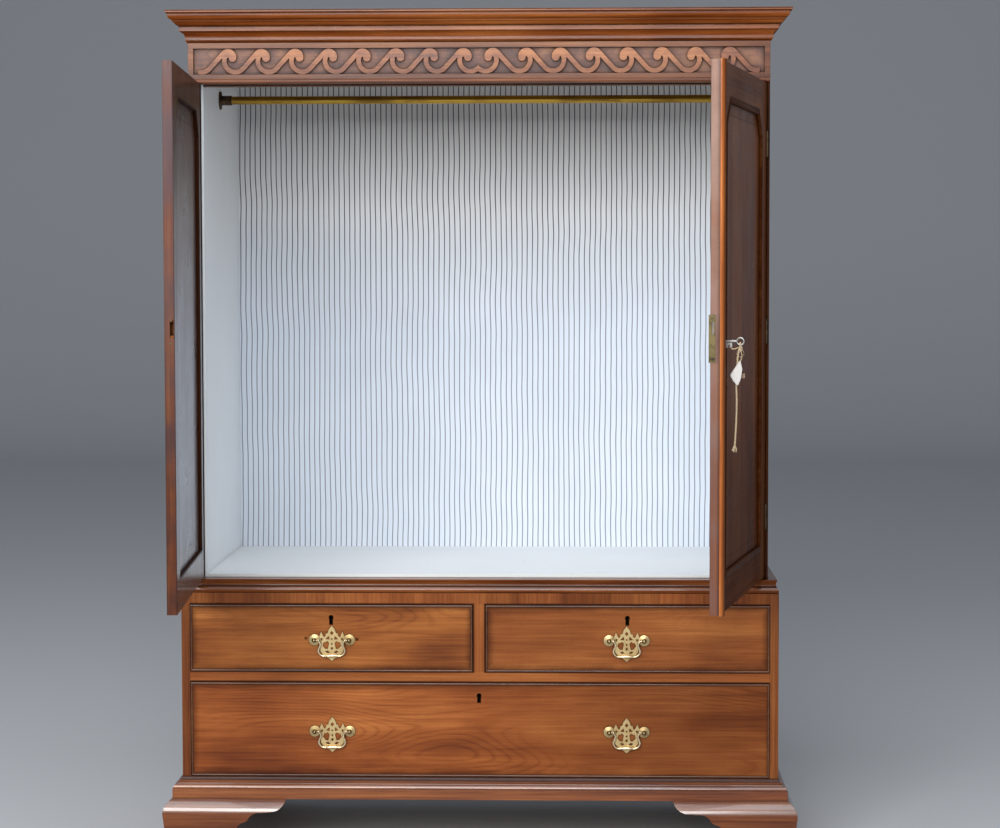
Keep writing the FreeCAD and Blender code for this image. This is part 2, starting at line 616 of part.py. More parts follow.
def hinge_leaf(z, x0, x1, own):
    """A leaf between x0 and x1; own lists the knuckles that it carries, counted from below."""
    z0 = z - HINGE_HEIGHT / 2
    y_leaf = Y_HINGE + KNUCKLE_RADIUS + KNUCKLE_ROOM - SEAM / 3
    leaf = box(x0, x1, y_leaf, Y_CASE + LEAF_DEPTH, z0, z0 + HINGE_HEIGHT)
    for i in own:
        low = z0 + i * knuckle + (KNUCKLE_GAP if i else 0)
        high = z0 + (i + 1) * knuckle - (KNUCKLE_GAP if i < 2 else 0)
        leaf = leaf.fuse(rod(KNUCKLE_RADIUS, V(X_HINGE, Y_HINGE, low), V(X_HINGE, Y_HINGE, high)))
        leaf = leaf.fuse(box(x0, x1, Y_HINGE, y_leaf, low, high))
    bore = rod(PIN_RADIUS + PIN_FIT, V(X_HINGE, Y_HINGE, z0 - knuckle),
               V(X_HINGE, Y_HINGE, z0 + HINGE_HEIGHT + knuckle))
    return leaf.cut(bore).removeSplitter()


def hinge_pin(z):
    z0, z1 = z - HINGE_HEIGHT / 2, z + HINGE_HEIGHT / 2
    pin = rod(PIN_RADIUS, V(X_HINGE, Y_HINGE, z0 - PIN_HEAD), V(X_HINGE, Y_HINGE, z1 + PIN_HEAD))
    for low in (z0 - PIN_HEAD, z1):
        pin = pin.fuse(rod(PIN_HEAD_RADIUS, V(X_HINGE, Y_HINGE, low),
                           V(X_HINGE, Y_HINGE, low + PIN_HEAD)))
    return pin.removeSplitter()


def hinge_room(z):
    z0 = z - HINGE_HEIGHT / 2 - PIN_HEAD - KNUCKLE_ROOM
    z1 = z + HINGE_HEIGHT / 2 + PIN_HEAD + KNUCKLE_ROOM
    return rod(KNUCKLE_RADIUS + KNUCKLE_ROOM, V(X_HINGE, Y_HINGE, z0), V(X_HINGE, Y_HINGE, z1))


x_lip = HALF_CASE - LIP
case_leaves = [hinge_leaf(z, x_lip, x_lip + LEAF, (0, 2)) for z in hinge_levels]
door_leaves = [hinge_leaf(z, X_DOOR_EDGE - LEAF, X_DOOR_EDGE, (1,)) for z in hinge_levels]
pins = [hinge_pin(z) for z in hinge_levels]
hinge_cuts = [hinge_room(z) for z in hinge_levels]
leaf_seats = [
    box(X_DOOR_EDGE - LEAF, x_lip + LEAF, Y_HINGE, Y_CASE + LEAF_DEPTH, z - HINGE_HEIGHT / 2,
        z + HINGE_HEIGHT / 2) for z in hinge_levels]
case_side = case_side.cut(hinge_cuts + leaf_seats)
keep("case_right_side", case_side)
keep("case_left_side", mirrored(case_side))
case_hinges = case_leaves + pins
keep("case_hinges", *case_hinges, *[mirrored(s) for s in case_hinges])

# A door, drawn as the right one and shut: two stiles, two rails, a panel and its moulding.
# The upper corners of the panel opening are cut off at 45 degrees.
x0, x1 = X_MEETING + STILE, X_DOOR_EDGE - STILE
z0, z1 = Z_DOOR_LOW + STILE, Z_DOOR_TOP - STILE
opening = [(x0, z0), (x0, z1 - CANT), (x0 + CANT, z1), (x1 - CANT, z1), (x1, z1 - CANT), (x1, z0)]
y_panel = Y_CASE + PANEL_SINK


def across_door(points, y_low, y_high):
    return polygon_prism([V(p[0], y_low, p[1]) for p in points], V(0, y_high - y_low, 0))


def grown(points, by):
    out = []
    count = len(points)
    for i in range(count):
        p, c, n = points[i - 1], points[i], points[(i + 1) % count]
        d0 = math.hypot(c[0] - p[0], c[1] - p[1])
        d1 = math.hypot(n[0] - c[0], n[1] - c[1])
        n0 = (-(c[1] - p[1]) / d0, (c[0] - p[0]) / d0)
        n1 = (-(n[1] - c[1]) / d1, (n[0] - c[0]) / d1)
        k = by / (1 + n0[0] * n1[0] + n0[1] * n1[1])
        out.append((c[0] + k * (n0[0] + n1[0]), c[1] + k * (n0[1] + n1[1])))
    return out


def framed_door():
    panel = across_door(grown(opening, PANEL_TONGUE), y_panel, y_panel + PANEL_THICK)
    lead = box(X_MEETING, x0, Y_CASE, Y_DOOR_BACK, Z_DOOR_LOW, Z_DOOR_TOP)
    hang = box(x1, X_DOOR_EDGE, Y_CASE, Y_DOOR_BACK, Z_DOOR_LOW, Z_DOOR_TOP)
    low = box(x0, x1, Y_CASE, Y_DOOR_BACK, Z_DOOR_LOW, z0)
    head = across_door([(x0, z1 - CANT), (x0 + CANT, z1), (x1 - CANT, z1), (x1, z1 - CANT),
                        (x1, Z_DOOR_TOP), (x0, Z_DOOR_TOP)], Y_CASE, Y_DOOR_BACK)
    hang = hang.cut(hinge_cuts + leaf_seats)
    frame = [s.cut(panel) for s in (lead, hang, low, head)]
    mould_face = outline_face(scaled(PANEL_MOULD_SHARES, PANEL_MOULD_WIDTH, PANEL_SINK + PANEL_MOULD_RISE))
    mould = mitred(opening, True, PANEL_MOULD_WIDTH, mould_face, V(0, y_panel, 0), *FACE)
    return frame, panel, mould


DOOR_HOLE = (KEYHOLE_RADIUS, KEYHOLE_SLOT)
DRAWER_HOLE = (DRAWER_KEYHOLE_RADIUS, DRAWER_KEYHOLE_SLOT)


def keyhole(x, z, y_low, y_high, grow, size=DOOR_HOLE):
    hole = rod(size[0] + grow, V(x, y_low, z), V(x, y_high, z))
    half = size[1] / 2 + grow
    return hole.fuse(box(x - half, x + half, y_low, y_high, z - KEYHOLE_LENGTH - grow, z)).removeSplitter()


def escutcheon(x, z, y, size=DOOR_HOLE):
    ring = keyhole(x, z, y, y + ESCUTCHEON_DEPTH, ESCUTCHEON_WALL, size)
    return ring.cut(keyhole(x, z, y - ESCUTCHEON_DEPTH, y + 2 * ESCUTCHEON_DEPTH, 0, size))


frame, panel, mould = framed_door()
left_frame = [s.copy() for s in frame]

# Lock in the right door's meeting stile, its bolt, and the strike mortise in the left door
x_key = X_MEETING + KEY_BACKSET
z_key = Z_DOOR_MID - KEY_DROP
y_lock = Y_DOOR_BACK + LOCK_PROUD - LOCK_DEPTH
lock = box(X_MEETING, X_MEETING + LOCK_WIDTH, y_lock, y_lock + LOCK_DEPTH,
           Z_DOOR_MID - LOCK_HEIGHT / 2, Z_DOOR_MID + LOCK_HEIGHT / 2)
frame[0] = frame[0].cut([lock, keyhole(x_key, z_key, Y_CASE, y_lock, 0),
                         keyhole(x_key, z_key, Y_CASE, Y_CASE + ESCUTCHEON_DEPTH, ESCUTCHEON_WALL)])
y_bolt = y_lock + LOCK_WALL
z_bolt = Z_DOOR_MID + BOLT_RISE
bolt = box(X_MEETING, X_MEETING + BOLT_LENGTH, y_bolt, y_bolt + BOLT_THICK, z_bolt - BOLT_HEIGHT / 2,
           z_bolt + BOLT_HEIGHT / 2)
lock = lock.cut(box(0, X_MEETING + BOLT_LENGTH + BOLT_FIT, y_bolt - BOLT_FIT,
                    y_bolt + BOLT_THICK + BOLT_FIT, z_bolt - BOLT_HEIGHT / 2 - BOLT_FIT,
                    z_bolt + BOLT_HEIGHT / 2 + BOLT_FIT))
lock = lock.cut(keyhole(x_key, z_key, y_lock, y_lock + LOCK_DEPTH - LOCK_PROUD, 0))
half_strike = BOLT_HEIGHT / 2 + STRIKE_ROOM
left_frame[0] = left_frame[0].cut([
    box(X_MEETING, X_MEETING + BOLT_THROW + 2 * STRIKE_ROOM, y_bolt - STRIKE_ROOM / 2,
        y_bolt + BOLT_THICK + STRIKE_ROOM / 2, z_bolt - half_strike, z_bolt + half_strike),
    box(X_MEETING, X_MEETING + STRIKE_LIP_DEPTH, y_bolt - STRIKE_ROOM, y_bolt + BOLT_THICK + STRIKE_ROOM,
        z_bolt - STRIKE_LIP_HEIGHT / 2, z_bolt + STRIKE_LIP_HEIGHT / 2)])

# Half-round bead on the right door's front, over the joint of the doors
bead_left = V(X_MEETING - BEAD_RADIUS, Y_CASE - BEAD_STEP, Z_DOOR_LOW)
bead_step = V(X_MEETING, Y_CASE - BEAD_STEP, Z_DOOR_LOW)
bead_back = V(X_MEETING, Y_CASE, Z_DOOR_LOW)
bead_right = V(X_MEETING + BEAD_RADIUS, Y_CASE, Z_DOOR_LOW)
bead_crown = V(X_MEETING, Y_CASE - BEAD_RADIUS, Z_DOOR_LOW)
bead = Part.Face(Part.Wire([
    Part.LineSegment(bead_left, bead_step).toShape(), Part.LineSegment(bead_step, bead_back).toShape(),
    Part.LineSegment(bead_back, bead_right).toShape(), Part.Arc(bead_right, bead_crown, bead_left).toShape(),
])).extrude(V(0, 0, DOOR_HEIGHT))

# The key rests with only its tip in the keyhole. A string through its bow carries a spare key
# and a folded paper tag.
y_bow = Y_CASE - KEY_BOW_OFF
y_bit = Y_CASE - KEY_BIT_OFF - KEY_BIT_LENGTH
key = rod(KEY_SHANK_RADIUS, V(x_key, Y_CASE + KEY_TIP_IN, z_key), V(x_key, y_bow + KEY_BOW_RADIUS, z_key))
bit = box(x_key - KEY_BIT_THICK / 2, x_key + KEY_BIT_THICK / 2, y_bit, y_bit + KEY_BIT_LENGTH,
          z_key - KEY_BIT_DROP, z_key)
bit = bit.cut(box(x_key - KEY_BIT_THICK, x_key + KEY_BIT_THICK, y_bit + KEY_BIT_LENGTH / 2 - KEY_NOTCH / 2,
                  y_bit + KEY_BIT_LENGTH / 2 + KEY_NOTCH / 2, z_key - KEY_BIT_DROP,
                  z_key - KEY_BIT_DROP + 2 * KEY_NOTCH))
bow = Part.makeTorus(KEY_BOW_RADIUS, KEY_BOW_WIRE, V(x_key, y_bow, z_key), V(1, 0, 0))
collar = rod(KEY_COLLAR_RADIUS, V(x_key, y_bit - KEY_COLLAR, z_key), V(x_key, y_bit, z_key))
door_key = key.multiFuse([bit, bow, collar]).removeSplitter()
z_wire = z_key - KEY_BOW_RADIUS
z_knot = z_wire - STRING_LOOP_RADIUS - STRING_KNOT_RADIUS + STRING_RADIUS
knot = Part.makeSphere(STRING_KNOT_RADIUS, V(x_key, y_bow, z_knot))
z_spare_wire = z_knot - STRING_KNOT_RADIUS - STRING_LOOP_RADIUS + STRING_RADIUS
loops = []
for z in (z_wire, z_spare_wire):
    loop = Part.makeTorus(STRING_LOOP_RADIUS, STRING_RADIUS, V(x_key, y_bow, z), V(0, 1, 0))
    loop.rotate(V(x_key, y_bow, z), V(0, 1, 0), QUARTER_TURN)
    loops.append(loop)
z_spare = z_spare_wire - SPARE_BOW_RADIUS
spare = Part.makeTorus(SPARE_BOW_RADIUS, SPARE_BOW_WIRE, V(x_key, y_bow, z_spare), V(1, 0, 0))
z_end = z_spare - SPARE_BOW_RADIUS - SPARE_SHANK
spare_shank = rod(SPARE_SHANK_RADIUS, V(x_key, y_bow, z_end), V(x_key, y_bow, z_spare - SPARE_BOW_RADIUS))
spare_bit = box(x_key - SPARE_BOW_WIRE / 2, x_key + SPARE_BOW_WIRE / 2, y_bow - SPARE_BIT, y_bow,
                z_end + SPARE_SHANK_RADIUS, z_end + SPARE_SHANK_RADIUS + SPARE_BIT)
spare_key = spare.multiFuse([spare_shank, spare_bit]).removeSplitter()

# The string's tail hangs from the knot in straight runs joined by tangent arcs
tail = [V(x_key, y_bow, z_knot)]
for drop, sway, turn in zip(STRING_DROPS, STRING_SWAYS, STRING_TURNS):
    tail.append(tail[-1] + V(turn, sway, -drop))
CORD_TURN_SHARE = 0.45


def cord_path(points):
    edges = []
    here = points[0]
    for i in range(1, len(points) - 1):
        back = points[i - 1] - points[i]
        on = points[i + 1] - points[i]
        reach = CORD_TURN_SHARE * min(back.Length, on.Length)
        half_turn = (math.pi - back.getAngle(on)) / 2
        back.normalize()
        on.normalize()
        start, end = points[i] + back * reach, points[i] + on * reach
        radius = reach / math.tan(half_turn)
        way = back + on
        way.normalize()
        centre = points[i] + way * math.hypot(radius, reach)
        print("string turn radius", round(radius, 1))
        edges.append(Part.LineSegment(here, start).toShape())
        edges.append(Part.Arc(start, centre - way * radius, end).toShape())
        here = end
    edges.append(Part.LineSegment(here, points[-1]).toShape())
    return Part.Wire(edges)


tail_wire = cord_path(tail)
tail_section = Part.Wire(Part.makeCircle(TAIL_RADIUS, tail[0], tail[1] - tail[0]))
tail_tube = tail_wire.makePipeShell([tail_section], True, False)
print("string volume over section times length",
      round(tail_tube.Volume / (math.pi * TAIL_RADIUS ** 2 * tail_wire.Length), 4))
tie_share = (z_knot - TAG_TIE_DROP - tail[1].z) / (tail[2].z - tail[1].z)
tie = tail[1] + (tail[2] - tail[1]) * tie_share
x_tag = tie.x - TAG_TIE_LENGTH
tie_rod = rod(TAG_TIE_RADIUS, tie, V(x_tag, tie.y, tie.z))
key_string = knot.multiFuse(loops).removeSplitter().fuse(tail_tube).fuse(tie_rod)
key_tag = box(x_tag - TAG_THICK, x_tag, tie.y - TAG_SIDE, tie.y - TAG_SIDE + TAG_WIDTH,
              tie.z + TAG_MARGIN - TAG_HEIGHT, tie.z + TAG_MARGIN)

door_escutcheon = escutcheon(x_key, z_key, Y_CASE)


def hung(solids, left):
    """The door's pieces at the angle at which it stands open."""
    out = []
    for s in solids:
        s = mirrored(s) if left else s.copy()
        side = -1 if left else 1
        s.rotate(V(side * X_HINGE, Y_HINGE, 0), UP, -LEFT_DOOR_OPEN if left else RIGHT_DOOR_OPEN)
        out.append(s)
    return out


for side, left, stiles in (("left", True, left_frame), ("right", False, frame)):
    keep(side + "_door_frame", *hung(stiles, left))
    keep(side + "_door_panel", *hung([panel], left))
    keep(side + "_door_moulding", *hung(mould, left))
    keep(side + "_door_leaves", *hung(door_leaves, left))
keep("meeting_bead", *hung([bead], False))
keep("door_lock", *hung([lock, door_escutcheon], False))
keep("lock_bolt", *hung([bolt], False))
keep("door_keys", *hung([door_key, spare_key], False))
keep("key_string", *hung([key_string], False))
keep("key_tag", *hung([key_tag], False))

# Drawers. The sides are dovetailed into the front and the bottom runs in grooves.
cockbead_high = COCKBEAD_SEAT + COCKBEAD_PROUD
nose = COCKBEAD * COCKBEAD_NOSE_SHARE
cockbead_face = outline_face([
    (0.0, 0.0), (COCKBEAD, 0.0), (COCKBEAD, cockbead_high - nose),
    (COCKBEAD / 2, cockbead_high, 0.0, cockbead_high - nose)])


def tails(x0, x1, y, z0, z1):
    pitch = (z1 - z0) / TAIL_COUNT
    half = pitch / 4
    out = []
    for i in range(TAIL_COUNT):
        z = z0 + (i + 1 / 2) * pitch
        out.append(polygon_prism(
            [V(x0, y, z - half), V(x0, y, z + half), V(x0, y - TAIL_LENGTH, z + half + TAIL_FLARE),
             V(x0, y - TAIL_LENGTH, z - half - TAIL_FLARE)], V(x1 - x0, 0, 0)))
    return out


def drawer(x0, x1, z_low, z_high):
    x0, x1 = x0 + DRAWER_SIDE_GAP, x1 - DRAWER_SIDE_GAP
    z0, z1 = z_low + DRAWER_RUN_GAP, z_high - DRAWER_TOP_GAP
    front = box(x0, x1, COCKBEAD_SEAT, DRAWER_FRONT, z0, z1)
    front = front.fuse(box(x0 + COCKBEAD, x1 - COCKBEAD, 0, COCKBEAD_SEAT, z0 + COCKBEAD, z1 - COCKBEAD))
    path = [(x0, z0), (x0, z1), (x1, z1), (x1, z0)]
    bead_strips = mitred(path, True, COCKBEAD, cockbead_face, V(0, COCKBEAD_SEAT, 0), *FACE)
    z_side = z1 - DRAWER_SIDE_DROP
    x_left, x_right = x0 + COCKBEAD, x1 - COCKBEAD
    sides = []
    for a, b in ((x_left, x_left + DRAWER_SIDE), (x_right - DRAWER_SIDE, x_right)):
        side = box(a, b, DRAWER_FRONT, DRAWER_LENGTH, z0, z_side)
        sides.append(side.multiFuse(tails(a, b, DRAWER_FRONT, z0, z_side)).removeSplitter())
    back = box(x_left + DRAWER_SIDE, x_right - DRAWER_SIDE, DRAWER_LENGTH - DRAWER_SIDE, DRAWER_LENGTH,
               z0 + DRAWER_BOTTOM_RISE + DRAWER_BOTTOM, z_side)
    bottom = box(x_left + GROOVE, x_right - GROOVE, DRAWER_FRONT - GROOVE, DRAWER_LENGTH,
                 z0 + DRAWER_BOTTOM_RISE, z0 + DRAWER_BOTTOM_RISE + DRAWER_BOTTOM)
    front = front.removeSplitter().cut(sides + [bottom])
    sides = [s.cut(bottom) for s in sides]
    x_mid = (x0 + x1) / 2
    z_hole = z1 - DRAWER_KEY_DROP
    y_lock = DRAWER_FRONT - DRAWER_LOCK_SINK
    lock = box(x_mid - DRAWER_LOCK_WIDTH / 2, x_mid + DRAWER_LOCK_WIDTH / 2, y_lock,
               y_lock + DRAWER_LOCK_DEPTH, z1 - COCKBEAD - SEAM - DRAWER_LOCK_HEIGHT, z1 - COCKBEAD - SEAM)
    front = front.cut([lock, keyhole(x_mid, z_hole, 0, y_lock, 0, DRAWER_HOLE),
                       keyhole(x_mid, z_hole, 0, ESCUTCHEON_DEPTH, ESCUTCHEON_WALL, DRAWER_HOLE)])
    lock = lock.cut(keyhole(x_mid, z_hole, y_lock, y_lock + DRAWER_LOCK_SINK, 0, DRAWER_HOLE))
    rim = escutcheon(x_mid, z_hole, 0, DRAWER_HOLE)
    return front, bead_strips, sides + [back, bottom], [lock, rim]


# Handles: a pierced plate, two roses with ball-headed posts and a bail that swings between them
half_roses = ROSE_SPACING / 2
y_bail = -POST_LENGTH + POST_BALL_RADIUS


def plate_point(share):
    return V(share[0] * PLATE_HALF, 0, share[1] * (PLATE_RISE if share[1] > 0 else PLATE_DROP))


def handle_plate():
    right = [plate_point(s) for s in PLATE_EDGE_SHARES]
    left = [V(-p.x, 0, p.z) for p in reversed(right[1:-1])]
    plate = polygon_prism(right + left, V(0, -PLATE, 0))
    arms = box(-half_roses, half_roses, -PLATE, 0, -ROSE_RIM, ROSE_RIM)
    gap = box(-PLATE_HALF / 2, PLATE_HALF / 2, -2 * PLATE, PLATE, -PLATE_DROP, PLATE_RISE)
    plate = plate.fuse(arms.cut(gap))
    holes = []
    for x, z, w, h in PLATE_DIAMOND_SHARES:
        holes.append([plate_point(s) for s in ((x - w, z), (x, z + h), (x + w, z), (x, z - h))])
    for leaf in PLATE_LEAF_SHARES:
        points = [plate_point(s) for s in leaf]
        holes.append(points)
        holes.append([V(-p.x, 0, p.z) for p in points])
    cuts = []
    for points in holes:
        cut = polygon_prism(points, V(0, -3 * PLATE, 0))
        cut.translate(V(0, PLATE, 0))
        cuts.append(cut)
    plate = plate.cut(cuts)
    for x in (-half_roses, half_roses):
        plate = plate.cut(rod(ROSE_RADIUS + SEAM, V(x, PLATE, 0), V(x, -2 * PLATE, 0)))
    return plate.removeSplitter().Solids[0]


def rose(x, inward):
    """A dished rose with its ball-headed post; the bore for the bail faces the other post."""
    steps = [V(0, 0, 0), V(ROSE_RADIUS, 0, 0), V(ROSE_RADIUS, 0, ROSE_RIM),
             V(ROSE_RADIUS - ROSE_RIM, 0, ROSE_RIM + SEAM), V(POST_RADIUS, 0, ROSE_DISH),
             V(POST_RADIUS, 0, POST_LENGTH - POST_BALL_RADIUS), V(0, 0, POST_LENGTH - POST_BALL_RADIUS)]
    body = Part.Face(Part.makePolygon(steps + [steps[0]])).revolve(V(0, 0, 0), UP, FULL_TURN)
    body = body.fuse(Part.makeSphere(POST_BALL_RADIUS, V(0, 0, -y_bail)))
    body.rotate(V(0, 0, 0), V(1, 0, 0), QUARTER_TURN)
    body.translate(V(x, 0, 0))
    bore = rod(BAIL_PIN_RADIUS + BAIL_PIN_FIT, V(x, y_bail, 0), V(x + inward * ROSE_RADIUS, y_bail, 0))
    return body.cut(bore).removeSplitter()


def bail():
    """A swan-necked rod whose two pins turn in the posts."""
    x_pin = half_roses - BAIL_SHOULDER + BAIL_PIN_RADIUS
    points = [(x_pin - BAIL_ROD_RADIUS, 0), (BAIL_NECK_HALF, -BAIL_NECK_DROP / 3),
              (BAIL_NECK_HALF - BAIL_ROD_RADIUS, -BAIL_NECK_DROP),
              (BAIL_HALF_WIDTH, -BAIL_DROP + BAIL_CORNER), (BAIL_HALF_WIDTH - BAIL_CORNER / 2, -BAIL_DROP),
              (0, -BAIL_DROP - BAIL_ROD_RADIUS)]
    half = [V(p[0], y_bail, p[1]) for p in points]
    spline = Part.BSplineCurve()
    spline.interpolate(half + [V(-p.x, p.y, p.z) for p in reversed(half[:-1])])
    wire = Part.Wire(spline.toShape())
    start, way = spline.value(0), spline.tangent(0)[0]
    section = Part.Wire(Part.makeCircle(BAIL_ROD_RADIUS, start, way))
    body = wire.makePipeShell([section], True, False)
    for side in (-1, 1):
        base = V(side * (x_pin - BAIL_ROD_RADIUS), y_bail, 0)
        tip = V(side * (half_roses - BAIL_SHOULDER + BAIL_PIN_LENGTH), y_bail, 0)
        body = body.fuse(rod(BAIL_PIN_RADIUS, base, tip))
        body = body.fuse(Part.makeSphere(BAIL_BALL_RADIUS, base - V(side * BAIL_BALL_SHIFT, 0, 0)))
    z_grip = -BAIL_DROP - BAIL_ROD_RADIUS
    left, right = V(-BAIL_GRIP_HALF, y_bail, z_grip), V(BAIL_GRIP_HALF, y_bail, z_grip)
    rise = V(0, 0, BAIL_GRIP_END)
    grip = Part.Face(Part.Wire([
        Part.LineSegment(left, left + rise).toShape(),
        Part.Arc(left + rise, V(0, y_bail, z_grip + BAIL_GRIP_RADIUS), right + rise).toShape(),
        Part.LineSegment(right + rise, right).toShape(), Part.LineSegment(right, left).toShape()]))
    return body.fuse(grip.revolve(left, right - left, FULL_TURN)).removeSplitter()


one_plate, one_bail = handle_plate(), bail()
roses = [rose(-half_roses, 1), rose(half_roses, -1)]


def placed(solid, x, z):
    copy = solid.copy()
    copy.translate(V(x, 0, z))
    return copy


drawers = (
    ("left_drawer", -INNER_CHEST, -half_stile, Z_SHORT_LOW, Z_SHORT_TOP, (-HANDLE_OFFSET,), ("",)),
    ("right_drawer", half_stile, INNER_CHEST, Z_SHORT_LOW, Z_SHORT_TOP, (HANDLE_OFFSET,), ("",)),
    ("long_drawer", -INNER_CHEST, INNER_CHEST, Z_LONG_LOW, Z_LONG_TOP, (-HANDLE_OFFSET, HANDLE_OFFSET),
     ("_left", "_right")),
)
for name, low_x, high_x, z_low, z_high, handles, labels in drawers:
    front, beads, carcass, brass = drawer(low_x, high_x, z_low, z_high)
    z_handle = (z_low + z_high) / 2 - HANDLE_SINK
    keep(name + "_front", front)
    keep(name + "_cockbead", *beads)
    keep(name + "_box", *carcass)
    plates = [placed(one_plate, x, z_handle) for x in handles]
    posts = [placed(r, x, z_handle) for x in handles for r in roses]
    keep(name + "_brasses", *brass, *plates, *posts)
    for x, label in zip(handles, labels):
        keep(name + label + "_bail", placed(one_bail, x, z_handle))

for name, shape in NODES.items():
    shape.exportStep("parts/" + name + ".step")
print(len(NODES), "nodes,", sum(len(s.Solids) for s in NODES.values()), "solids")
bad = [n for n, s in NODES.items() if not s.isValid() or any(x.Volume <= 0 for x in s.Solids)]
print("unsound nodes:", bad)
turned = FreeCAD.Rotation(UP, RIGHT_DOOR_OPEN)
print("hinge axis at", X_HINGE, Y_HINGE, "handle axis", y_bail)
print("way in for the key", turned.multVec(V(0, 1, 0)), "way out for the bolt", turned.multVec(V(-1, 0, 0)))
print("rail", y_rail, z_rail, "string points", [tuple(round(c, 2) for c in p) for p in tail])
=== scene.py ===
# %% [markdown]
# A linen press: mahogany outside, white paint and striped cloth inside. The carpentry comes from
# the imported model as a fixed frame, so this script only gives it its finishes and adds what is soft
# or small: the cloth, the key's twine and tag, and the screws. Lengths are in metres, but places on
# a door are in millimetres and for the shut door, as a joiner would mark them out.

# %% Load the press
import math
import random
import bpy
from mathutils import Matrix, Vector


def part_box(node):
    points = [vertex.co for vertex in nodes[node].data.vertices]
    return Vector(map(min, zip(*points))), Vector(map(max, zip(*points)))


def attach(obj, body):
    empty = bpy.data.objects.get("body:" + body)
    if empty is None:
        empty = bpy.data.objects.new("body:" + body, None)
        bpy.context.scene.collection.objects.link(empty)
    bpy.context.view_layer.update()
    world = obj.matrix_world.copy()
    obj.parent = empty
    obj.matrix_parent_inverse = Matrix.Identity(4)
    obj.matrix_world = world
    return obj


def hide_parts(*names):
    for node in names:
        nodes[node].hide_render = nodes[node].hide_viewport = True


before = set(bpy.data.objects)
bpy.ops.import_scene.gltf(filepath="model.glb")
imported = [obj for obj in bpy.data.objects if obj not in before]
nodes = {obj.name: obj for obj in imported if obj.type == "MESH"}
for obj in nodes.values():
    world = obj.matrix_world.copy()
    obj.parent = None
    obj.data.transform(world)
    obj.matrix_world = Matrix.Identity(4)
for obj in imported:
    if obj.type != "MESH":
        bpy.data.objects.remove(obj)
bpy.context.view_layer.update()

from types import SimpleNamespace
import bpy
from mathutils import Matrix, Vector

# %% [markdown]
# The camera stands a little to the right of the middle, at chest height, about five metres away,
# and looks slightly to the left and down. A long lens keeps the press from looking pinched. These
# numbers come from a fit to the edges of the chest, the case and the doors.

# %% Camera
LENS_MM, SENSOR_MM, SEES_TO = 88.29, 36.0, 60.0
CAMERA_PLACE = (0.2091, -5.1628, 1.2607)
PAN_LEFT, TILT_DOWN, ROLL = 0.0317, 0.0586, -0.0017


def shown(name, data):
    """A new object in the scene, made of a mesh, a curve, a light or a camera."""
    made = bpy.data.objects.new(name, data)
    bpy.context.scene.collection.objects.link(made)
    return made


lens = bpy.data.cameras.new("camera")
lens.lens, lens.sensor_width, lens.clip_end = LENS_MM, SENSOR_MM, SEES_TO
camera = shown("camera", lens)
turn = (Matrix.Rotation(PAN_LEFT, 4, "Z") @ Matrix.Rotation(math.pi / 2 - TILT_DOWN, 4, "X")
        @ Matrix.Rotation(ROLL, 4, "Z"))
camera.matrix_world = Matrix.Translation(CAMERA_PLACE) @ turn
bpy.context.scene.camera = camera
print("camera at", [round(v, 3) for v in camera.location])

# %% [markdown]
# A wide pale floor sweeps up far behind the press, so that one can walk all round it. It is one
# strip of faces along a profile, because a flat floor and a wall would meet in a hard line.

# %% Floor
FLOOR_HALF, FLOOR_BACK, SWEEP, WALL_TOP = 45.0, 11.0, 2.4, 12.0
SWEEP_STEPS = 10


def finish(name):
    """A new material, its node tree and its main shader."""
    material = bpy.data.materials.new(name)
    material.use_nodes = True
    tree = material.node_tree
    return material, tree, tree.nodes["Principled BSDF"]


def smoothed(mesh):
    for face in mesh.polygons:
        face.use_smooth = True


def smooth_mesh(name, verts, faces, material):
    mesh = bpy.data.meshes.new(name)
    mesh.from_pydata(verts, [], faces)
    mesh.materials.append(material)
    smoothed(mesh)
    return mesh


paint, _, shader = finish("studio_floor")
shader.inputs["Base Color"].default_value = (0.60, 0.62, 0.65, 1.0)
shader.inputs["Roughness"].default_value = 0.75
profile = [(-FLOOR_HALF, 0.0), (FLOOR_BACK, 0.0)]
for i in range(1, SWEEP_STEPS + 1):
    a = math.radians(90 / SWEEP_STEPS * i)
    profile.append((FLOOR_BACK + SWEEP * math.sin(a), SWEEP - SWEEP * math.cos(a)))
profile.append((FLOOR_BACK + SWEEP, WALL_TOP))
verts = [(x, y, z) for y, z in profile for x in (-FLOOR_HALF, FLOOR_HALF)]
faces = [(2 * i, 2 * i + 1, 2 * i + 3, 2 * i + 2) for i in range(len(profile) - 1)]
floor = shown("floor", smooth_mesh("floor", verts, faces, paint))
print("floor of", len(faces), "faces")

# %% [markdown]
# One large soft light stands in front, a little to the left and above head height, so that it
# shines into the cupboard and lets the frieze shade the top of the cloth. A second hangs above and
# a weak third fills in from the right. Area lights give the soft edges of a window, and the camera
# does not see them. The sky is a dim grey.

# %% Light
def soft_light(name, place, aim, size, power, colour):
    data = bpy.data.lights.new(name, "AREA")
    data.shape = "RECTANGLE"
    data.size, data.size_y = size
    data.energy, data.color = power, colour
    lamp = shown(name, data)
    lamp.visible_camera = False
    lamp.location = place
    lamp.rotation_euler = (Vector(aim) - Vector(place)).to_track_quat("-Z", "Y").to_euler()


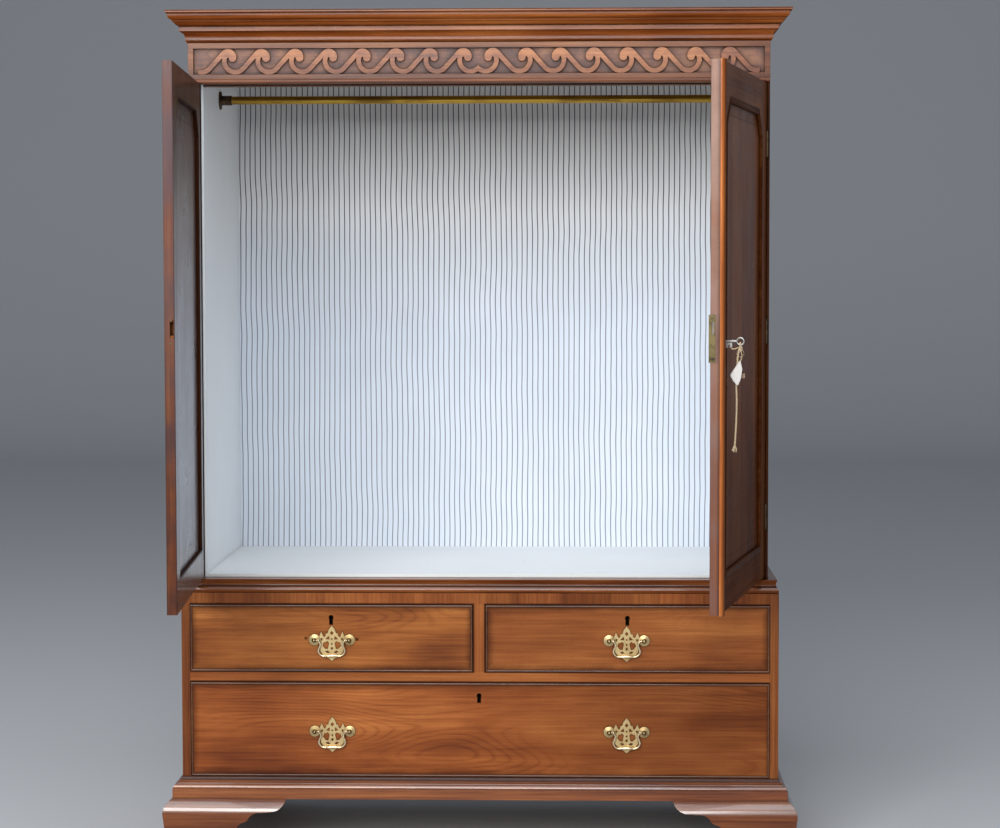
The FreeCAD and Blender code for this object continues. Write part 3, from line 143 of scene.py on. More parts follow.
soft_light("window_light", place=(-1.2, -6.7, 3.4), aim=(0.0, 0.2, 1.0), size=(4.4, 2.8),
           power=462.0, colour=(1.0, 0.995, 0.985))
soft_light("fill_light", place=(3.8, -4.6, 1.8), aim=(0.0, 0.2, 0.9), size=(2.0, 2.6),
           power=12.0, colour=(0.93, 0.96, 1.0))
soft_light("top_light", place=(-0.3, -2.3, 4.7), aim=(-0.3, -0.3, 0.4), size=(3.6, 3.6),
           power=130.0, colour=(0.95, 0.97, 1.0))
sky = bpy.data.worlds.new("studio")
sky.use_nodes = True
glow = sky.node_tree.nodes["Background"].inputs
glow["Color"].default_value = (0.80, 0.86, 0.94, 1.0)
glow["Strength"].default_value = 0.20
bpy.context.scene.world = sky
bpy.context.scene.view_settings.view_transform = "Standard"
print(len(bpy.data.lights), "lights and a sky")

# %% [markdown]
# All finishes are built from the same few steps: take the place of a point, stretch it along the
# grain, look up noise there, and mix colours. Each step is a node. The first helpers add a node and
# do sums on the outputs of other nodes, so that a finish can be read like arithmetic.

# %% Nodes and sums
def put(tree, socket, value):
    """Link an output into a socket, or set the socket to a plain value."""
    if isinstance(value, bpy.types.NodeSocket):
        tree.links.new(value, socket)
    else:
        socket.default_value = value


def add(tree, kind, settings=(), **inputs):
    """A new node. In the name of an input, an underscore stands for a space."""
    node = tree.nodes.new(kind if kind.startswith("GeometryNode") else "ShaderNode" + kind)
    for key, value in dict(settings).items():
        setattr(node, key, value)
    for key, value in inputs.items():
        put(tree, node.inputs[key.replace("_", " ")], value)
    return node


def calc(tree, operation, first, *others):
    """A sum on one value, or on several from left to right."""
    out = first
    for other in others or (None,):
        node = add(tree, "Math", {"operation": operation})
        put(tree, node.inputs[0], out)
        if other is not None:
            put(tree, node.inputs[1], other)
        out = node.outputs[0]
    return out


def total(tree, *values):
    return calc(tree, "ADD", *values)


def minus(tree, first, second):
    return calc(tree, "SUBTRACT", first, second)


def times(tree, *values):
    return calc(tree, "MULTIPLY", *values)


def most(tree, *values):
    return calc(tree, "MAXIMUM", *values)


def least(tree, *values):
    return calc(tree, "MINIMUM", *values)


def past(tree, value, limit):
    return calc(tree, "GREATER_THAN", value, limit)


def under(tree, value, limit):
    return calc(tree, "LESS_THAN", value, limit)


def unsigned(tree, value):
    return calc(tree, "ABSOLUTE", value)


def apart(tree, first, second):
    return unsigned(tree, minus(tree, first, second))


def rest_of(tree, share):
    return minus(tree, 1.0, share)


def swing(tree, value, amount):
    """A value about one half, turned into one about zero that swings by amount."""
    return times(tree, minus(tree, value, 0.5), amount)


print("nodes can be added and summed")

# %% [markdown]
# A pattern starts from the place of a point in the frame's own coordinates, which ride with a piece
# when it moves. These helpers take a place apart, shift or stretch it, look up noise there, and
# turn a noise or a distance into a share between two values.

# %% Places and noise
def local(tree):
    return add(tree, "TexCoord").outputs["Object"]


def parts_of(tree, vector):
    return add(tree, "SeparateXYZ", Vector=vector).outputs


def joined(tree, *parts):
    node = add(tree, "CombineXYZ")
    for socket, part in zip(node.inputs, parts):
        put(tree, socket, part)
    return node.outputs[0]


def normal_of(tree, kind="Normal"):
    return add(tree, "NewGeometry").outputs[kind]


def shifted(tree, vector, seed, steps):
    """Another stretch of the same pattern for every seed."""
    node = add(tree, "VectorMath", {"operation": "ADD"})
    put(tree, node.inputs[0], vector)
    node.inputs[1].default_value = [seed * step for step in steps]
    return node.outputs[0]


def stretched(tree, vector, along, across):
    node = add(tree, "Mapping", Vector=vector)
    node.inputs["Scale"].default_value = (along, across, across)
    return node.outputs[0]


def noise(tree, vector, scale=1.0, detail=3.0, roughness=0.55, distortion=0.0):
    return add(tree, "TexNoise", Vector=vector, Scale=scale, Detail=detail, Roughness=roughness,
               Distortion=distortion).outputs[0]


def spread(tree, value, low, high, to_low=0.0, to_high=1.0):
    """Goes softly from to_low to to_high while the value goes from low to high."""
    node = add(tree, "MapRange", {"interpolation_type": "SMOOTHSTEP"})
    for socket, v in zip(node.inputs, (value, low, high, to_low, to_high)):
        put(tree, socket, v)
    return node.outputs[0]


def choose(tree, factor, first, second):
    node = add(tree, "Mix", {"data_type": "VECTOR"})
    for i, value in ((0, factor), (4, first), (5, second)):
        put(tree, node.inputs[i], value)
    return node.outputs[1]


print("patterns can be looked up")

# %% [markdown]
# The last helpers mix colours, find corners and edges, and give a shader its colour and its bump. A
# finish is then put on the frame's own meshes, whose shape stays as it is.

# %% Colours and surfaces
def blend(tree, factor, first, second):
    node = add(tree, "Mix", {"data_type": "RGBA"})
    put(tree, node.inputs[0], factor)
    for i, colour in ((6, first), (7, second)):
        put(tree, node.inputs[i], (*colour, 1.0) if isinstance(colour, tuple) else colour)
    return node.outputs[2]


def ramp(tree, value, stops):
    node = add(tree, "ValToRGB", Fac=value)
    ends = node.color_ramp.elements
    while len(ends) < len(stops):
        ends.new(0.5)
    for end, (place, colour) in zip(ends, stops):
        end.position = place
        end.color = (*colour, 1.0)
    return node.outputs[0]


def toned(stops, tone, red=1.0):
    """The stops of a ramp, lighter by tone and redder by red."""
    return [(place, (r * tone, g * tone / red, b * tone / red)) for place, (r, g, b) in stops]


def corners(tree, reach, samples=3):
    """One on open surfaces, and less in corners that are tighter than reach."""
    return add(tree, "AmbientOcclusion", {"samples": samples}, Distance=reach).outputs["AO"]


def rounded(tree, radius):
    """The normal of a surface whose edges are rounded off."""
    return add(tree, "Bevel", {"samples": 2}, Radius=radius).outputs[0]


def colour_and_bump(tree, shader, colour, height, strength, depth, normal=None):
    put(tree, shader.inputs["Base Color"], colour)
    bump = add(tree, "Bump", Strength=strength, Distance=depth, Height=height)
    if normal is not None:
        put(tree, bump.inputs["Normal"], normal)
    put(tree, shader.inputs["Normal"], bump.outputs[0])


def clothe(material, *names):
    for name in names:
        slots = nodes[name].material_slots
        for slot in slots:
            slot.material = material
        if not slots:
            nodes[name].data.materials.append(material)


print("colours can be mixed for", len(nodes), "nodes")

# %% [markdown]
# Mahogany is the main finish. Soft clouds and long ribbons of light and dark lie under fine
# streaks. Where a board is cut near the heart, faint arches of the yearly rings show in patches. A
# picture of wood would repeat and would not follow the boards, so each layer is noise that is
# stretched along the grain: along X on rails, along Z on stiles and sides, and round the mitres of
# the mouldings. A grain rule takes the place p of a point and gives it back with X along the grain.

# %% Bare mahogany
GRAIN_STOPS = ((0.10, (0.105, 0.024, 0.0048)), (0.40, (0.205, 0.056, 0.0105)),
               (0.60, (0.275, 0.084, 0.0178)), (0.90, (0.395, 0.140, 0.034)))
PORE = (0.040, 0.011, 0.004)


def along_x(tree, p):
    return p


def along_y(tree, p):
    x, y, z = parts_of(tree, p)
    return joined(tree, y, x, z)


def along_z(tree, p):
    x, y, z = parts_of(tree, p)
    return joined(tree, z, x, y)


def round_mitre(half, front):
    """Front lengths run along X and side lengths along Y, divided at the mitre of a corner."""
    def rule(tree, p):
        x, y, _ = parts_of(tree, p)
        out_x, out_y = minus(tree, unsigned(tree, x), half), minus(tree, front, y)
        return choose(tree, past(tree, out_x, out_y), along_x(tree, p), along_y(tree, p))
    return rule


def ring_arches(tree, grain):
    """Narrow arches of the yearly rings, seen in patches."""
    sway = noise(tree, stretched(tree, grain, 1.5, 7.0), detail=1.5)
    rings = total(tree, times(tree, parts_of(tree, grain)[2], 160.0), swing(tree, sway, 200.0))
    arch = total(tree, times(tree, calc(tree, "SINE", rings), 0.5), 0.5)
    seen = spread(tree, noise(tree, stretched(tree, grain, 1.7, 4.5), detail=1.0), 0.42, 0.64)
    return times(tree, calc(tree, "POWER", arch, 4.0), seen)


def bare_wood(tree, place, grain, look):
    """The wood's colour, and the streaks and pores that the bump needs."""
    cloud = noise(tree, stretched(tree, grain, 2.4, 6.0), detail=3.0)
    ribbon = noise(tree, stretched(tree, grain, 1.2, 30.0), detail=4.0, roughness=0.6,
                   distortion=0.3)
    streak = noise(tree, stretched(tree, grain, 5.0, 190.0), detail=2.0, roughness=0.6)
    value = total(tree, 0.5, swing(tree, cloud, look.clouds), swing(tree, ribbon, look.ribbons),
                  swing(tree, streak, look.streaks))
    if look.figure:
        value = minus(tree, value, times(tree, ring_arches(tree, grain), 0.20 * look.figure))
    if look.mottle:
        specks = noise(tree, place, scale=34.0, detail=4.0, roughness=0.65)
        value = total(tree, value, swing(tree, specks, look.mottle))
    colour = ramp(tree, value, toned(GRAIN_STOPS, look.tone, look.red))
    pore = spread(tree, noise(tree, stretched(tree, grain, 46.0, 1500.0), detail=1.0), 0.60, 0.72)
    return blend(tree, times(tree, pore, 0.35), colour, PORE), streak, pore


print("bare wood with", len(GRAIN_STOPS), "stops of colour")

# %% [markdown]
# Long use has changed the surface, and some light and shade is painted into it as well. A shade rule
# says where the wood is darker: some rules are wax, others painted shade. Washes lay a thin tint over
# other places, from a low one to a high one up the piece; some of them are painted sheen. Dirt and
# painted shade sit in the corners, edges are rubbed light, and the polish shines only where it is
# clean. Corners come from ambient occlusion, and edges show where the rounded normal of a Bevel node
# leaves the true one. The frame's meshes are not touched for this, so it is all in the material.

# %% Aged and polished mahogany
PLAIN_LOOK = {
    "seed": 0.0,                                     # which stretch of the pattern
    "tone": 1.0, "red": 1.0,                         # lightness and redness
    "clouds": 1.2, "ribbons": 1.3, "streaks": 1.0,   # the three layers of grain
    "figure": 0.0, "mottle": 0.0,                    # ring arches and fine specks
    "gloss": 0.12, "polish": 0.1, "rough": 0.36,     # shine of the wood and of the polish
    "dirt": 0.009, "grime": 0.9, "crisp": 0.95,      # reach, darkness and end of the dirt and painted shade in corners
    "wear": 0.4, "bumps": 0.1,                       # rubbing of edges, depth of the grain
}
# The colours that shade rules, corners and rubbed edges blend towards: wax that also serves as
# painted shade, dirt with painted shade, and rubbed wood.
WAX_AND_SHADE, DIRT_SHADE_COLOUR, RUBBED = (0.030, 0.010, 0.006), (0.014, 0.005, 0.003), (0.52, 0.19, 0.060)
WASH_LOW, WASH_HIGH = 0.60, 1.65
EDGE_RADIUS = 0.0016


def nowhere(tree, p):
    return 0.0


def everywhere(tree, p):
    return 1.0


def rubbed_edges(tree, place, soft, wear):
    meet = add(tree, "VectorMath", {"operation": "DOT_PRODUCT"})
    put(tree, meet.inputs[0], soft)
    put(tree, meet.inputs[1], normal_of(tree, "True Normal"))
    worn = spread(tree, meet.outputs["Value"], 0.80, 0.985, wear, 0.0)
    return times(tree, worn, spread(tree, noise(tree, place, scale=26.0, detail=3.0), 0.36, 0.62))


def mahogany(name, rule, space=local, shade=nowhere, washes=(), shine=everywhere, **changes):
    look = SimpleNamespace(**{**PLAIN_LOOK, **changes})
    material, tree, shader = finish(name)
    place = space(tree)
    grain = shifted(tree, rule(tree, place), look.seed, (1.7, 0.9, 0.6))
    colour, streak, pore = bare_wood(tree, place, grain, look)
    # A shade rule darkens the wood towards the first colour: wax in some rules, painted shade in
    # others.
    dull = shade(tree, place)
    colour = blend(tree, dull, colour, WAX_AND_SHADE)
    for where, low_tint, high_tint in washes:
        rise = spread(tree, parts_of(tree, place)[2], WASH_LOW, WASH_HIGH)
        colour = blend(tree, where(tree, place), colour, blend(tree, rise, low_tint, high_tint))
    # Dirt and painted shade darken the corners, found by ambient occlusion.
    dirt_and_shade = spread(tree, corners(tree, look.dirt), 0.40, look.crisp, look.grime, 0.0)
    colour = blend(tree, dirt_and_shade, colour, DIRT_SHADE_COLOUR)
    soft = rounded(tree, EDGE_RADIUS)
    light = tuple(v * look.tone for v in RUBBED)
    colour = blend(tree, rubbed_edges(tree, place, soft, look.wear), colour, light)
    haze = swing(tree, noise(tree, place, scale=9.0, detail=4.0), 0.22)
    put(tree, shader.inputs["Roughness"], total(tree, look.rough, haze))
    clean = times(tree, rest_of(tree, most(tree, dirt_and_shade, dull)), shine(tree, place))
    put(tree, shader.inputs["Specular IOR Level"], times(tree, clean, look.gloss))
    put(tree, shader.inputs["Coat Weight"], times(tree, clean, look.polish))
    shader.inputs["Coat Roughness"].default_value = 0.10
    height = minus(tree, times(tree, streak, 0.4), pore)
    colour_and_bump(tree, shader, colour, height, strength=look.bumps, depth=0.0006, normal=soft)
    return material


def dress(name, pieces, rule, **look):
    clothe(mahogany("mahogany_" + name, rule, **look), *pieces)


print("mahogany has", len(PLAIN_LOOK), "settings")

# %% [markdown]
# The mouldings and the feet shine on what faces upwards, where they catch the light, and have dirt
# and painted shade in their hollows. The base moulding, the feet, the frieze, its border and its
# scroll carry a pale painted sheen, strongest on the frieze, and the front edges of the case sides
# carry painted shadow. Darkness by height is measured on the box of the piece, so it stays right when
# a height changes. A seed for each finish keeps boards that meet from showing the same grain.

# %% Carcass, mouldings and frieze
CHEST_CORNER, CASE_CORNER = (0.634, 0.0), (0.612, 0.022)
CASE_EDGE = 0.050
# The pale tint of a painted sheen.
SHEEN_TINT = (0.50, 0.45, 0.47)


def facing(low, high, dim):
    """Shine on what faces upwards more than low, fully at high, and only a dim share below that."""
    def rule(tree, p):
        return spread(tree, parts_of(tree, normal_of(tree))[2], low, high, dim, 1.0)
    return rule


def height_shade(node, low_share, high_share, at_low, at_high):
    """Darkness that goes from at_low to at_high between two shares of a piece's height."""
    low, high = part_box(node)
    rise = high.z - low.z

    def shade(tree, p):
        z = parts_of(tree, p)[2]
        return spread(tree, z, low.z + low_share * rise, low.z + high_share * rise, at_low, at_high)
    return shade


def level_shade(node, share, half, strength):
    """Darkness round one share of a piece's height."""
    low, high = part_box(node)
    rise = high.z - low.z

    def shade(tree, p):
        off = apart(tree, parts_of(tree, p)[2], low.z + share * rise)
        return spread(tree, off, 0.7 * half * rise, half * rise, strength, 0.0)
    return shade


def front_edge_shadow(tree, p):
    """Painted shadow on the case sides' front edges, which the doors cover when shut."""
    return times(tree, under(tree, parts_of(tree, p)[1], CASE_EDGE), 0.8)


# A pale wash of painted sheen, laid evenly over a piece.
def painted_sheen(strength):
    return (lambda tree, p: strength), SHEEN_TINT, SHEEN_TINT


upward, outward = facing(0.06, 0.30, 0.12), facing(-0.30, -0.04, 0.05)
dress("chest_sides", ["chest_right_side", "chest_left_side"], along_z, seed=1.0, tone=0.70,
      red=1.05)
dress("case_sides", ["case_right_side", "case_left_side"], along_z, seed=1.0, tone=0.70, red=1.05,
      shade=front_edge_shadow)
dress("base_moulding", ["base_moulding"], round_mitre(*CHEST_CORNER), seed=3.0, tone=0.78, red=1.08,
      gloss=0.7, polish=1.0, shine=upward, washes=[painted_sheen(0.04)],
      shade=height_shade("base_moulding", 0.82, 0.86, 0.0, 0.88))
dress("waist_moulding", ["waist_moulding"], round_mitre(*CASE_CORNER), seed=4.0, tone=0.58,
      red=1.14, gloss=0.4, polish=0.45, shine=upward,
      shade=level_shade("waist_moulding", 0.52, 0.07, 0.8))
# The strong rubbing lightens the cornice's crests: wear, and a painted highlight too.
dress("cornice", ["cornice"], round_mitre(*CASE_CORNER), seed=5.0, tone=0.86, red=1.14, dirt=0.010,
      grime=1.0, crisp=1.0, gloss=0.34, polish=0.06, wear=0.9, shine=outward,
      shade=height_shade("cornice", 0.955, 0.97, 0.0, 0.75))
dress("feet", ["front_feet", "back_feet"], round_mitre(*CHEST_CORNER), seed=6.0, tone=0.60,
      red=1.12, gloss=0.9, polish=1.0, shine=upward, washes=[painted_sheen(0.03)])
dress("boards", ["case_floor_board", "head_rail"], along_x, seed=7.0, tone=0.55, red=1.1)
dress("frieze", ["frieze_board"], along_x, seed=8.0, tone=0.85, mottle=2.6, gloss=0.22, polish=0.05,
      dirt=0.013, grime=1.0, crisp=1.0, washes=[painted_sheen(0.13)],
      shade=height_shade("frieze_board", 0.25, 0.85, 0.45, 0.0))
dress("border", ["frieze_border"], along_x, seed=9.0, tone=0.70, gloss=0.25, polish=0.05, wear=0.6,
      dirt=0.006, washes=[painted_sheen(0.03)])
dress("fret", ["scroll_fret"], along_x, seed=10.0, tone=1.08, mottle=1.0, gloss=0.25, polish=0.05,
      wear=0.6, dirt=0.004, washes=[painted_sheen(0.08)],
      shade=height_shade("scroll_fret", 0.0, 0.8, 0.35, 0.0))


def dressed_count():
    return sum(slot.material.name.startswith("mahogany")
               for node in nodes.values() for slot in node.material_slots if slot.material)


print("mahogany on", dressed_count(), "nodes")

# %% [markdown]
# The doors stand open, so their boards are turned. The grain is looked up as if each door were
# shut, by turning the place of a point back about the hinge, and so it follows the boards. Between
# the stiles the grain is level, and on the stiles it is upright. The rules here say where a point
# lies: how far inside the panel's opening, whose upper corners are cut off, and on which side of
# the door.

# %% Places on a door
HINGE = Vector((0.6065, 0.0205, 0.0))
OPENED = {-1: math.radians(-86.3), 1: math.radians(77.7)}
STILE, DOOR_MID, DOOR_FRONT = 0.062, 0.30335, 0.022
OPENING_HALF, OPENING_LOW, OPENING_HIGH, CUT_CORNER = 0.2406, 0.673, 1.590, 0.052
STILE_JOINT = 0.0008


def hinge_axis(side):
    return Vector((side * HINGE.x, HINGE.y, 0.0))


def shut_door(side):
    back = -OPENED[side]
    axis = hinge_axis(side)

    def space(tree):
        node = add(tree, "Mapping", Vector=local(tree))
        node.inputs["Rotation"].default_value = (0.0, 0.0, back)
        node.inputs["Location"].default_value = axis - Matrix.Rotation(back, 3, "Z") @ axis
        return node.outputs[0]
    return space


def door_rule(tree, p):
    across = apart(tree, unsigned(tree, parts_of(tree, p)[0]), DOOR_MID)
    on_rail = under(tree, across, DOOR_MID - STILE - STILE_JOINT)
    return choose(tree, on_rail, along_z(tree, p), along_x(tree, p))


def from_opening(tree, p):
    """How far a point of a door lies inside the panel's opening."""
    x, _, z = parts_of(tree, p)
    side = minus(tree, OPENING_HALF, apart(tree, unsigned(tree, x), DOOR_MID))
    bottom, top = minus(tree, z, OPENING_LOW), minus(tree, OPENING_HIGH, z)
    cut = times(tree, minus(tree, total(tree, side, top), CUT_CORNER), math.sqrt(0.5))
    return least(tree, side, cut, bottom, top)


def on_inside(tree, p, depth):
    """One on what lies deeper than depth behind the door's front."""
    return past(tree, parts_of(tree, p)[1], DOOR_FRONT + depth)


print("doors open by", [round(math.degrees(abs(angle)), 1) for angle in OPENED.values()], "degrees")

# %% [markdown]
# The outer sides of the doors grow darker towards the bottom. On the inner side painted shade lies
# round the opening and along the hinges, and the edge is darker by the lock. The meeting bead has a
# painted highlight and painted shade across its round. A crossbanded border with a fine dark line
# runs round each panel; on the real door it is inlaid flush, so a line in the finish shows it as well
# as a solid would.

# %% Dark places on the doors
PANEL_INSIDE, FRONT_SKIN, MEETING_EDGE = 0.009, 0.002, 0.0012
LOCK_LEVEL, LOCK_HALF = 1.1315, 0.046
MIDDLE_SLACK = 0.0002
BORDER, BORDER_LINE, BORDER_SOFT = 0.034, (0.0006, 0.0014), 0.0005
HINGE_STRIP, OPENING_SHADE, BEAD_DEPTHS = (0.566, 0.578), (0.002, 0.005), (0.0135, 0.0205)
LOW_DARK = (0.62, 1.25)


def low_dark(tree, p, depth, at_top):
    """The outer sides are darker towards the bottom."""
    outer = rest_of(tree, on_inside(tree, p, depth))
    return times(tree, outer, spread(tree, parts_of(tree, p)[2], *LOW_DARK, 0.6, at_top))


def frame_shade(tree, p):
    """Painted shade round the opening and along the hinges inside, and darker by the lock."""
    x, _, z = parts_of(tree, p)
    wide = unsigned(tree, x)
    # Painted shade on the inner side, round the opening and along the hinges.
    opening = spread(tree, unsigned(tree, from_opening(tree, p)), *OPENING_SHADE, 0.88, 0.0)
    hinged = spread(tree, wide, *HINGE_STRIP, 0.0, 0.92)
    inner = times(tree, most(tree, opening, hinged), on_inside(tree, p, FRONT_SKIN))
    by_lock = times(tree, under(tree, apart(tree, z, LOCK_LEVEL), LOCK_HALF),
                    under(tree, wide, MEETING_EDGE), past(tree, x, -MIDDLE_SLACK), 0.8)
    return most(tree, inner, by_lock, low_dark(tree, p, FRONT_SKIN, 0.28))


def panel_shade(tree, p):
    edge = from_opening(tree, p)
    line = spread(tree, apart(tree, edge, BORDER), *BORDER_LINE, 0.75, 0.0)
    band = spread(tree, edge, BORDER - BORDER_SOFT, BORDER + BORDER_SOFT, 0.22, 0.0)
    return most(tree, line, band, low_dark(tree, p, PANEL_INSIDE, 0.06))


# Painted shade on the side of the bead that turns away from the light.
def bead_shade(tree, p):
    return spread(tree, parts_of(tree, p)[1], *BEAD_DEPTHS, 0.72, 0.0)


print("border", BORDER * 1000, "mm inside the opening")

# %% [markdown]
# The inner sides of the doors are dark and polished, and the outer sides have only a faint bloom.
# Hands have dulled the meeting edges, and the right one is paler because it catches the light.
# These are washes, laid over the wood; a wash takes its share from a rule, as a shade does.

# %% Doors
FRAME_INSIDE = 0.0178
POLISH_HEIGHTS, BLOOM_HEIGHTS = (0.95, 1.65), (0.6, 1.5)
POLISH_STARTS, POLISH_ENDS = (0.003, 0.005), (0.572, 0.576)
INSIDE_TINT = (0.026, 0.018, 0.016)
EDGE_TINTS = {-1: ((0.040, 0.020, 0.020), (0.088, 0.066, 0.076)),
              1: ((0.155, 0.084, 0.070), (0.355, 0.240, 0.195))}


def door_shine(depth):
    """The inner side is polished, most in its lower half; the outer side has only a faint bloom."""
    def rule(tree, p):
        x, _, z = parts_of(tree, p)
        wide, inside = unsigned(tree, x), on_inside(tree, p, depth)
        clear = times(tree, spread(tree, wide, *POLISH_STARTS),
                      spread(tree, wide, *POLISH_ENDS, 1.0, 0.0))
        inner = times(tree, inside, spread(tree, z, *POLISH_HEIGHTS, 0.87, 0.14), clear)
        bloom = times(tree, rest_of(tree, inside), spread(tree, z, *BLOOM_HEIGHTS, 0.03, 0.20))
        return total(tree, inner, bloom)
    return rule


def dark_inside(depth):
    return (lambda tree, p: times(tree, on_inside(tree, p, depth), 0.7)), INSIDE_TINT, INSIDE_TINT


def dulled_edge(tree, p):
    edge = under(tree, unsigned(tree, parts_of(tree, p)[0]), MEETING_EDGE)
    marks = noise(tree, stretched(tree, p, 60.0, 9.0), detail=4.0)
    uneven = spread(tree, marks, 0.3, 0.7, 0.55, 1.0)
    return times(tree, edge, uneven, 0.88)


for side, word in ((-1, "left"), (1, "right")):
    space = shut_door(side)
    dress(f"{word}_frame", [f"{word}_door_frame"], door_rule, space=space, seed=11.0 + side,
          tone=0.84, red=1.05, gloss=0.4, polish=0.55, shade=frame_shade,
          shine=door_shine(FRAME_INSIDE),
          washes=[dark_inside(FRAME_INSIDE), (dulled_edge, *EDGE_TINTS[side])])
    dress(f"{word}_panel", [f"{word}_door_panel"], along_z, space=space, seed=14.0 + side,
          tone=0.86, red=1.05, gloss=0.45, polish=0.6, rough=0.3, bumps=0.0, ribbons=0.95,
          streaks=0.75, shade=panel_shade, shine=door_shine(PANEL_INSIDE),
          washes=[dark_inside(PANEL_INSIDE)])
    dress(f"{word}_moulding", [f"{word}_door_moulding"], door_rule, space=space, seed=17.0 + side,
          tone=0.30, red=1.1, gloss=0.02, polish=0.0)
# The bead's high tone is a painted highlight where it catches the light.
dress("bead", ["meeting_bead"], along_z, space=shut_door(1), seed=20.0, tone=1.95, clouds=0.3,
      ribbons=0.6, gloss=0.25, polish=0.2, shade=bead_shade)
print("mahogany on", dressed_count(), "nodes, with the doors")

# %% [markdown]
# The front frame of the chest has upright grain on its short centre stile and on the rail above the
# drawers, which is veneered in short pieces of uneven width and tone. White noise on the number of a
# piece gives it its tone. Painted shadow lies along the drawers' openings, mostly above and to their
# right, and the bottom rail is darker under the long drawer.

# %% Front frame
CENTRE_STILE_HALF, DRAWER_RAIL, VENEER_FOOT, VENEER_WIDTH = 0.0135, 0.409, 0.5526, 0.094
# How far the painted shadow reaches past each cockbead, and the darker band on the bottom rail.
SHADOW_LEFT, SHADOW_RIGHT, SHADOW_LOW, SHADOW_HIGH = 0.0006, 0.0014, -0.0004, 0.0012
SHADOW_ENDS, RAGGED, RAIL_DARK_LOW, RAIL_DARK_HIGH = (0.0012, 0.0042), 0.01, 0.006, 0.001


def front_frame_rule(tree, p):
    x, _, z = parts_of(tree, p)
    stile = times(tree, under(tree, unsigned(tree, x), CENTRE_STILE_HALF),
                  past(tree, z, DRAWER_RAIL))
    upright = most(tree, stile, past(tree, z, VENEER_FOOT))
    return choose(tree, upright, along_x(tree, p), along_z(tree, p))


def rail_veneers(tree, p):
    x, _, z = parts_of(tree, p)
    uneven = swing(tree, noise(tree, joined(tree, x, 0.0, 0.0), scale=7.0, detail=0.0), 1.2)
    place = total(tree, calc(tree, "DIVIDE", x, VENEER_WIDTH), uneven)
    number = calc(tree, "FLOOR", place)
    piece = add(tree, "TexWhiteNoise", {"noise_dimensions": "1D"}, W=number).outputs["Value"]
    seam = spread(tree, apart(tree, calc(tree, "FRACT", place), 0.5), 0.488, 0.498, 0.0, 0.4)
    return times(tree, most(tree, times(tree, piece, 0.34), seam), past(tree, z, VENEER_FOOT))


def frame_veneers_and_shadows(tree, p):
    """Painted shadow, mostly above and to the right of each opening, and a darker bottom rail."""
    x, _, z = parts_of(tree, p)
    out = rail_veneers(tree, p)
    # Painted shadow beside each drawer's opening.
    for word in ("left", "right", "long"):
        low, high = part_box(f"{word}_drawer_cockbead")
        dx = most(tree, minus(tree, low.x - SHADOW_LEFT, x), minus(tree, x, high.x + SHADOW_RIGHT))
        dz = most(tree, minus(tree, low.z - SHADOW_LOW, z), minus(tree, z, high.z + SHADOW_HIGH))
        out = most(tree, out, spread(tree, most(tree, dx, dz), *SHADOW_ENDS, 0.93, 0.0))
    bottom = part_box("long_drawer_cockbead")[0].z
    ragged = total(tree, z, swing(tree, noise(tree, stretched(tree, p, 9.0, 40.0)), RAGGED))
    on_rail = spread(tree, ragged, bottom - RAIL_DARK_LOW, bottom + RAIL_DARK_HIGH, 0.85, 0.0)
    return most(tree, out, on_rail)


dress("front_frame", ["chest_front_frame"], front_frame_rule, seed=2.0, tone=0.98, red=1.04,
      streaks=0.6, ribbons=0.9, shade=frame_veneers_and_shadows)
print("mahogany on", dressed_count(), "nodes, with the front frame")

# %% [markdown]
# The drawer fronts are the best boards, with ring arches. They are darker round the edge, where wax
# has gathered, and the long one has painted shade towards its right end, where less light falls. The
# left one has two old dark spots beside its handle. Their dark cockbeads make the outline of each
# drawer.

# %% Drawer fronts
WAX_REACH, WAX_WAVE = 0.020, 0.016
END_STARTS, END_FULL = 0.1, 0.2
SPOTS = ((-0.0555, 0.480, 0.0045), (0.0535, 0.478, 0.0050))


def drawer_shade(node, spots, right):
    """Dark round the edge and on each spot; painted shade of up to right towards the right end."""
    low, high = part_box(node)
    middle, half = (low + high) / 2, (high - low) / 2

    def shade(tree, p):
        x, _, z = parts_of(tree, p)
        dx = minus(tree, half.x, apart(tree, x, middle.x))
        dz = minus(tree, half.z, apart(tree, z, middle.z))
        edge = total(tree, least(tree, dx, dz), swing(tree, noise(tree, p, scale=14.0), WAX_WAVE))
        # Wax round the edge, and painted shade towards the right end, where less light falls.
        out = most(tree, spread(tree, edge, 0.0, WAX_REACH, 0.62, 0.0),
                   spread(tree, x, middle.x - END_STARTS, high.x - END_FULL, 0.0, right))
        for spot_x, spot_z, size in spots:
            far = add(tree, "VectorMath", {"operation": "DISTANCE"})
            put(tree, far.inputs[0], joined(tree, x, 0.0, z))
            far.inputs[1].default_value = (spot_x, 0.0, spot_z)
            out = most(tree, out, spread(tree, far.outputs["Value"], 0.4 * size, size, 0.85, 0.0))
        return out
    return shade


bail_low, bail_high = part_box("left_drawer_bail")
handle = (bail_low + bail_high) / 2
old_spots = [(handle.x + off, level, size) for off, level, size in SPOTS]
# The tones differ from board to board; the left one's is raised partly as painted light.
for word, seed, tone, red, figure, spots, right in (("left", 21.0, 1.18, 0.92, 0.6, old_spots, 0.0),
                                                    ("right", 22.0, 0.88, 1.03, 0.7, (), 0.0),
                                                    ("long", 23.0, 1.06, 1.08, 0.8, (), 0.42)):
    front = f"{word}_drawer_front"
    dress(f"{word}_drawer", [front], along_x, seed=seed, tone=tone, red=red, figure=figure,
          clouds=1.7, ribbons=0.8, streaks=0.6, shade=drawer_shade(front, spots, right))
dress("cockbead", [f"{word}_drawer_cockbead" for word in ("left", "right", "long")], along_x,
      seed=25.0, tone=0.36, gloss=0.3, polish=0.5, wear=0.2, grime=0.6, dirt=0.003)
print("mahogany on", dressed_count(), "nodes, with the drawers")

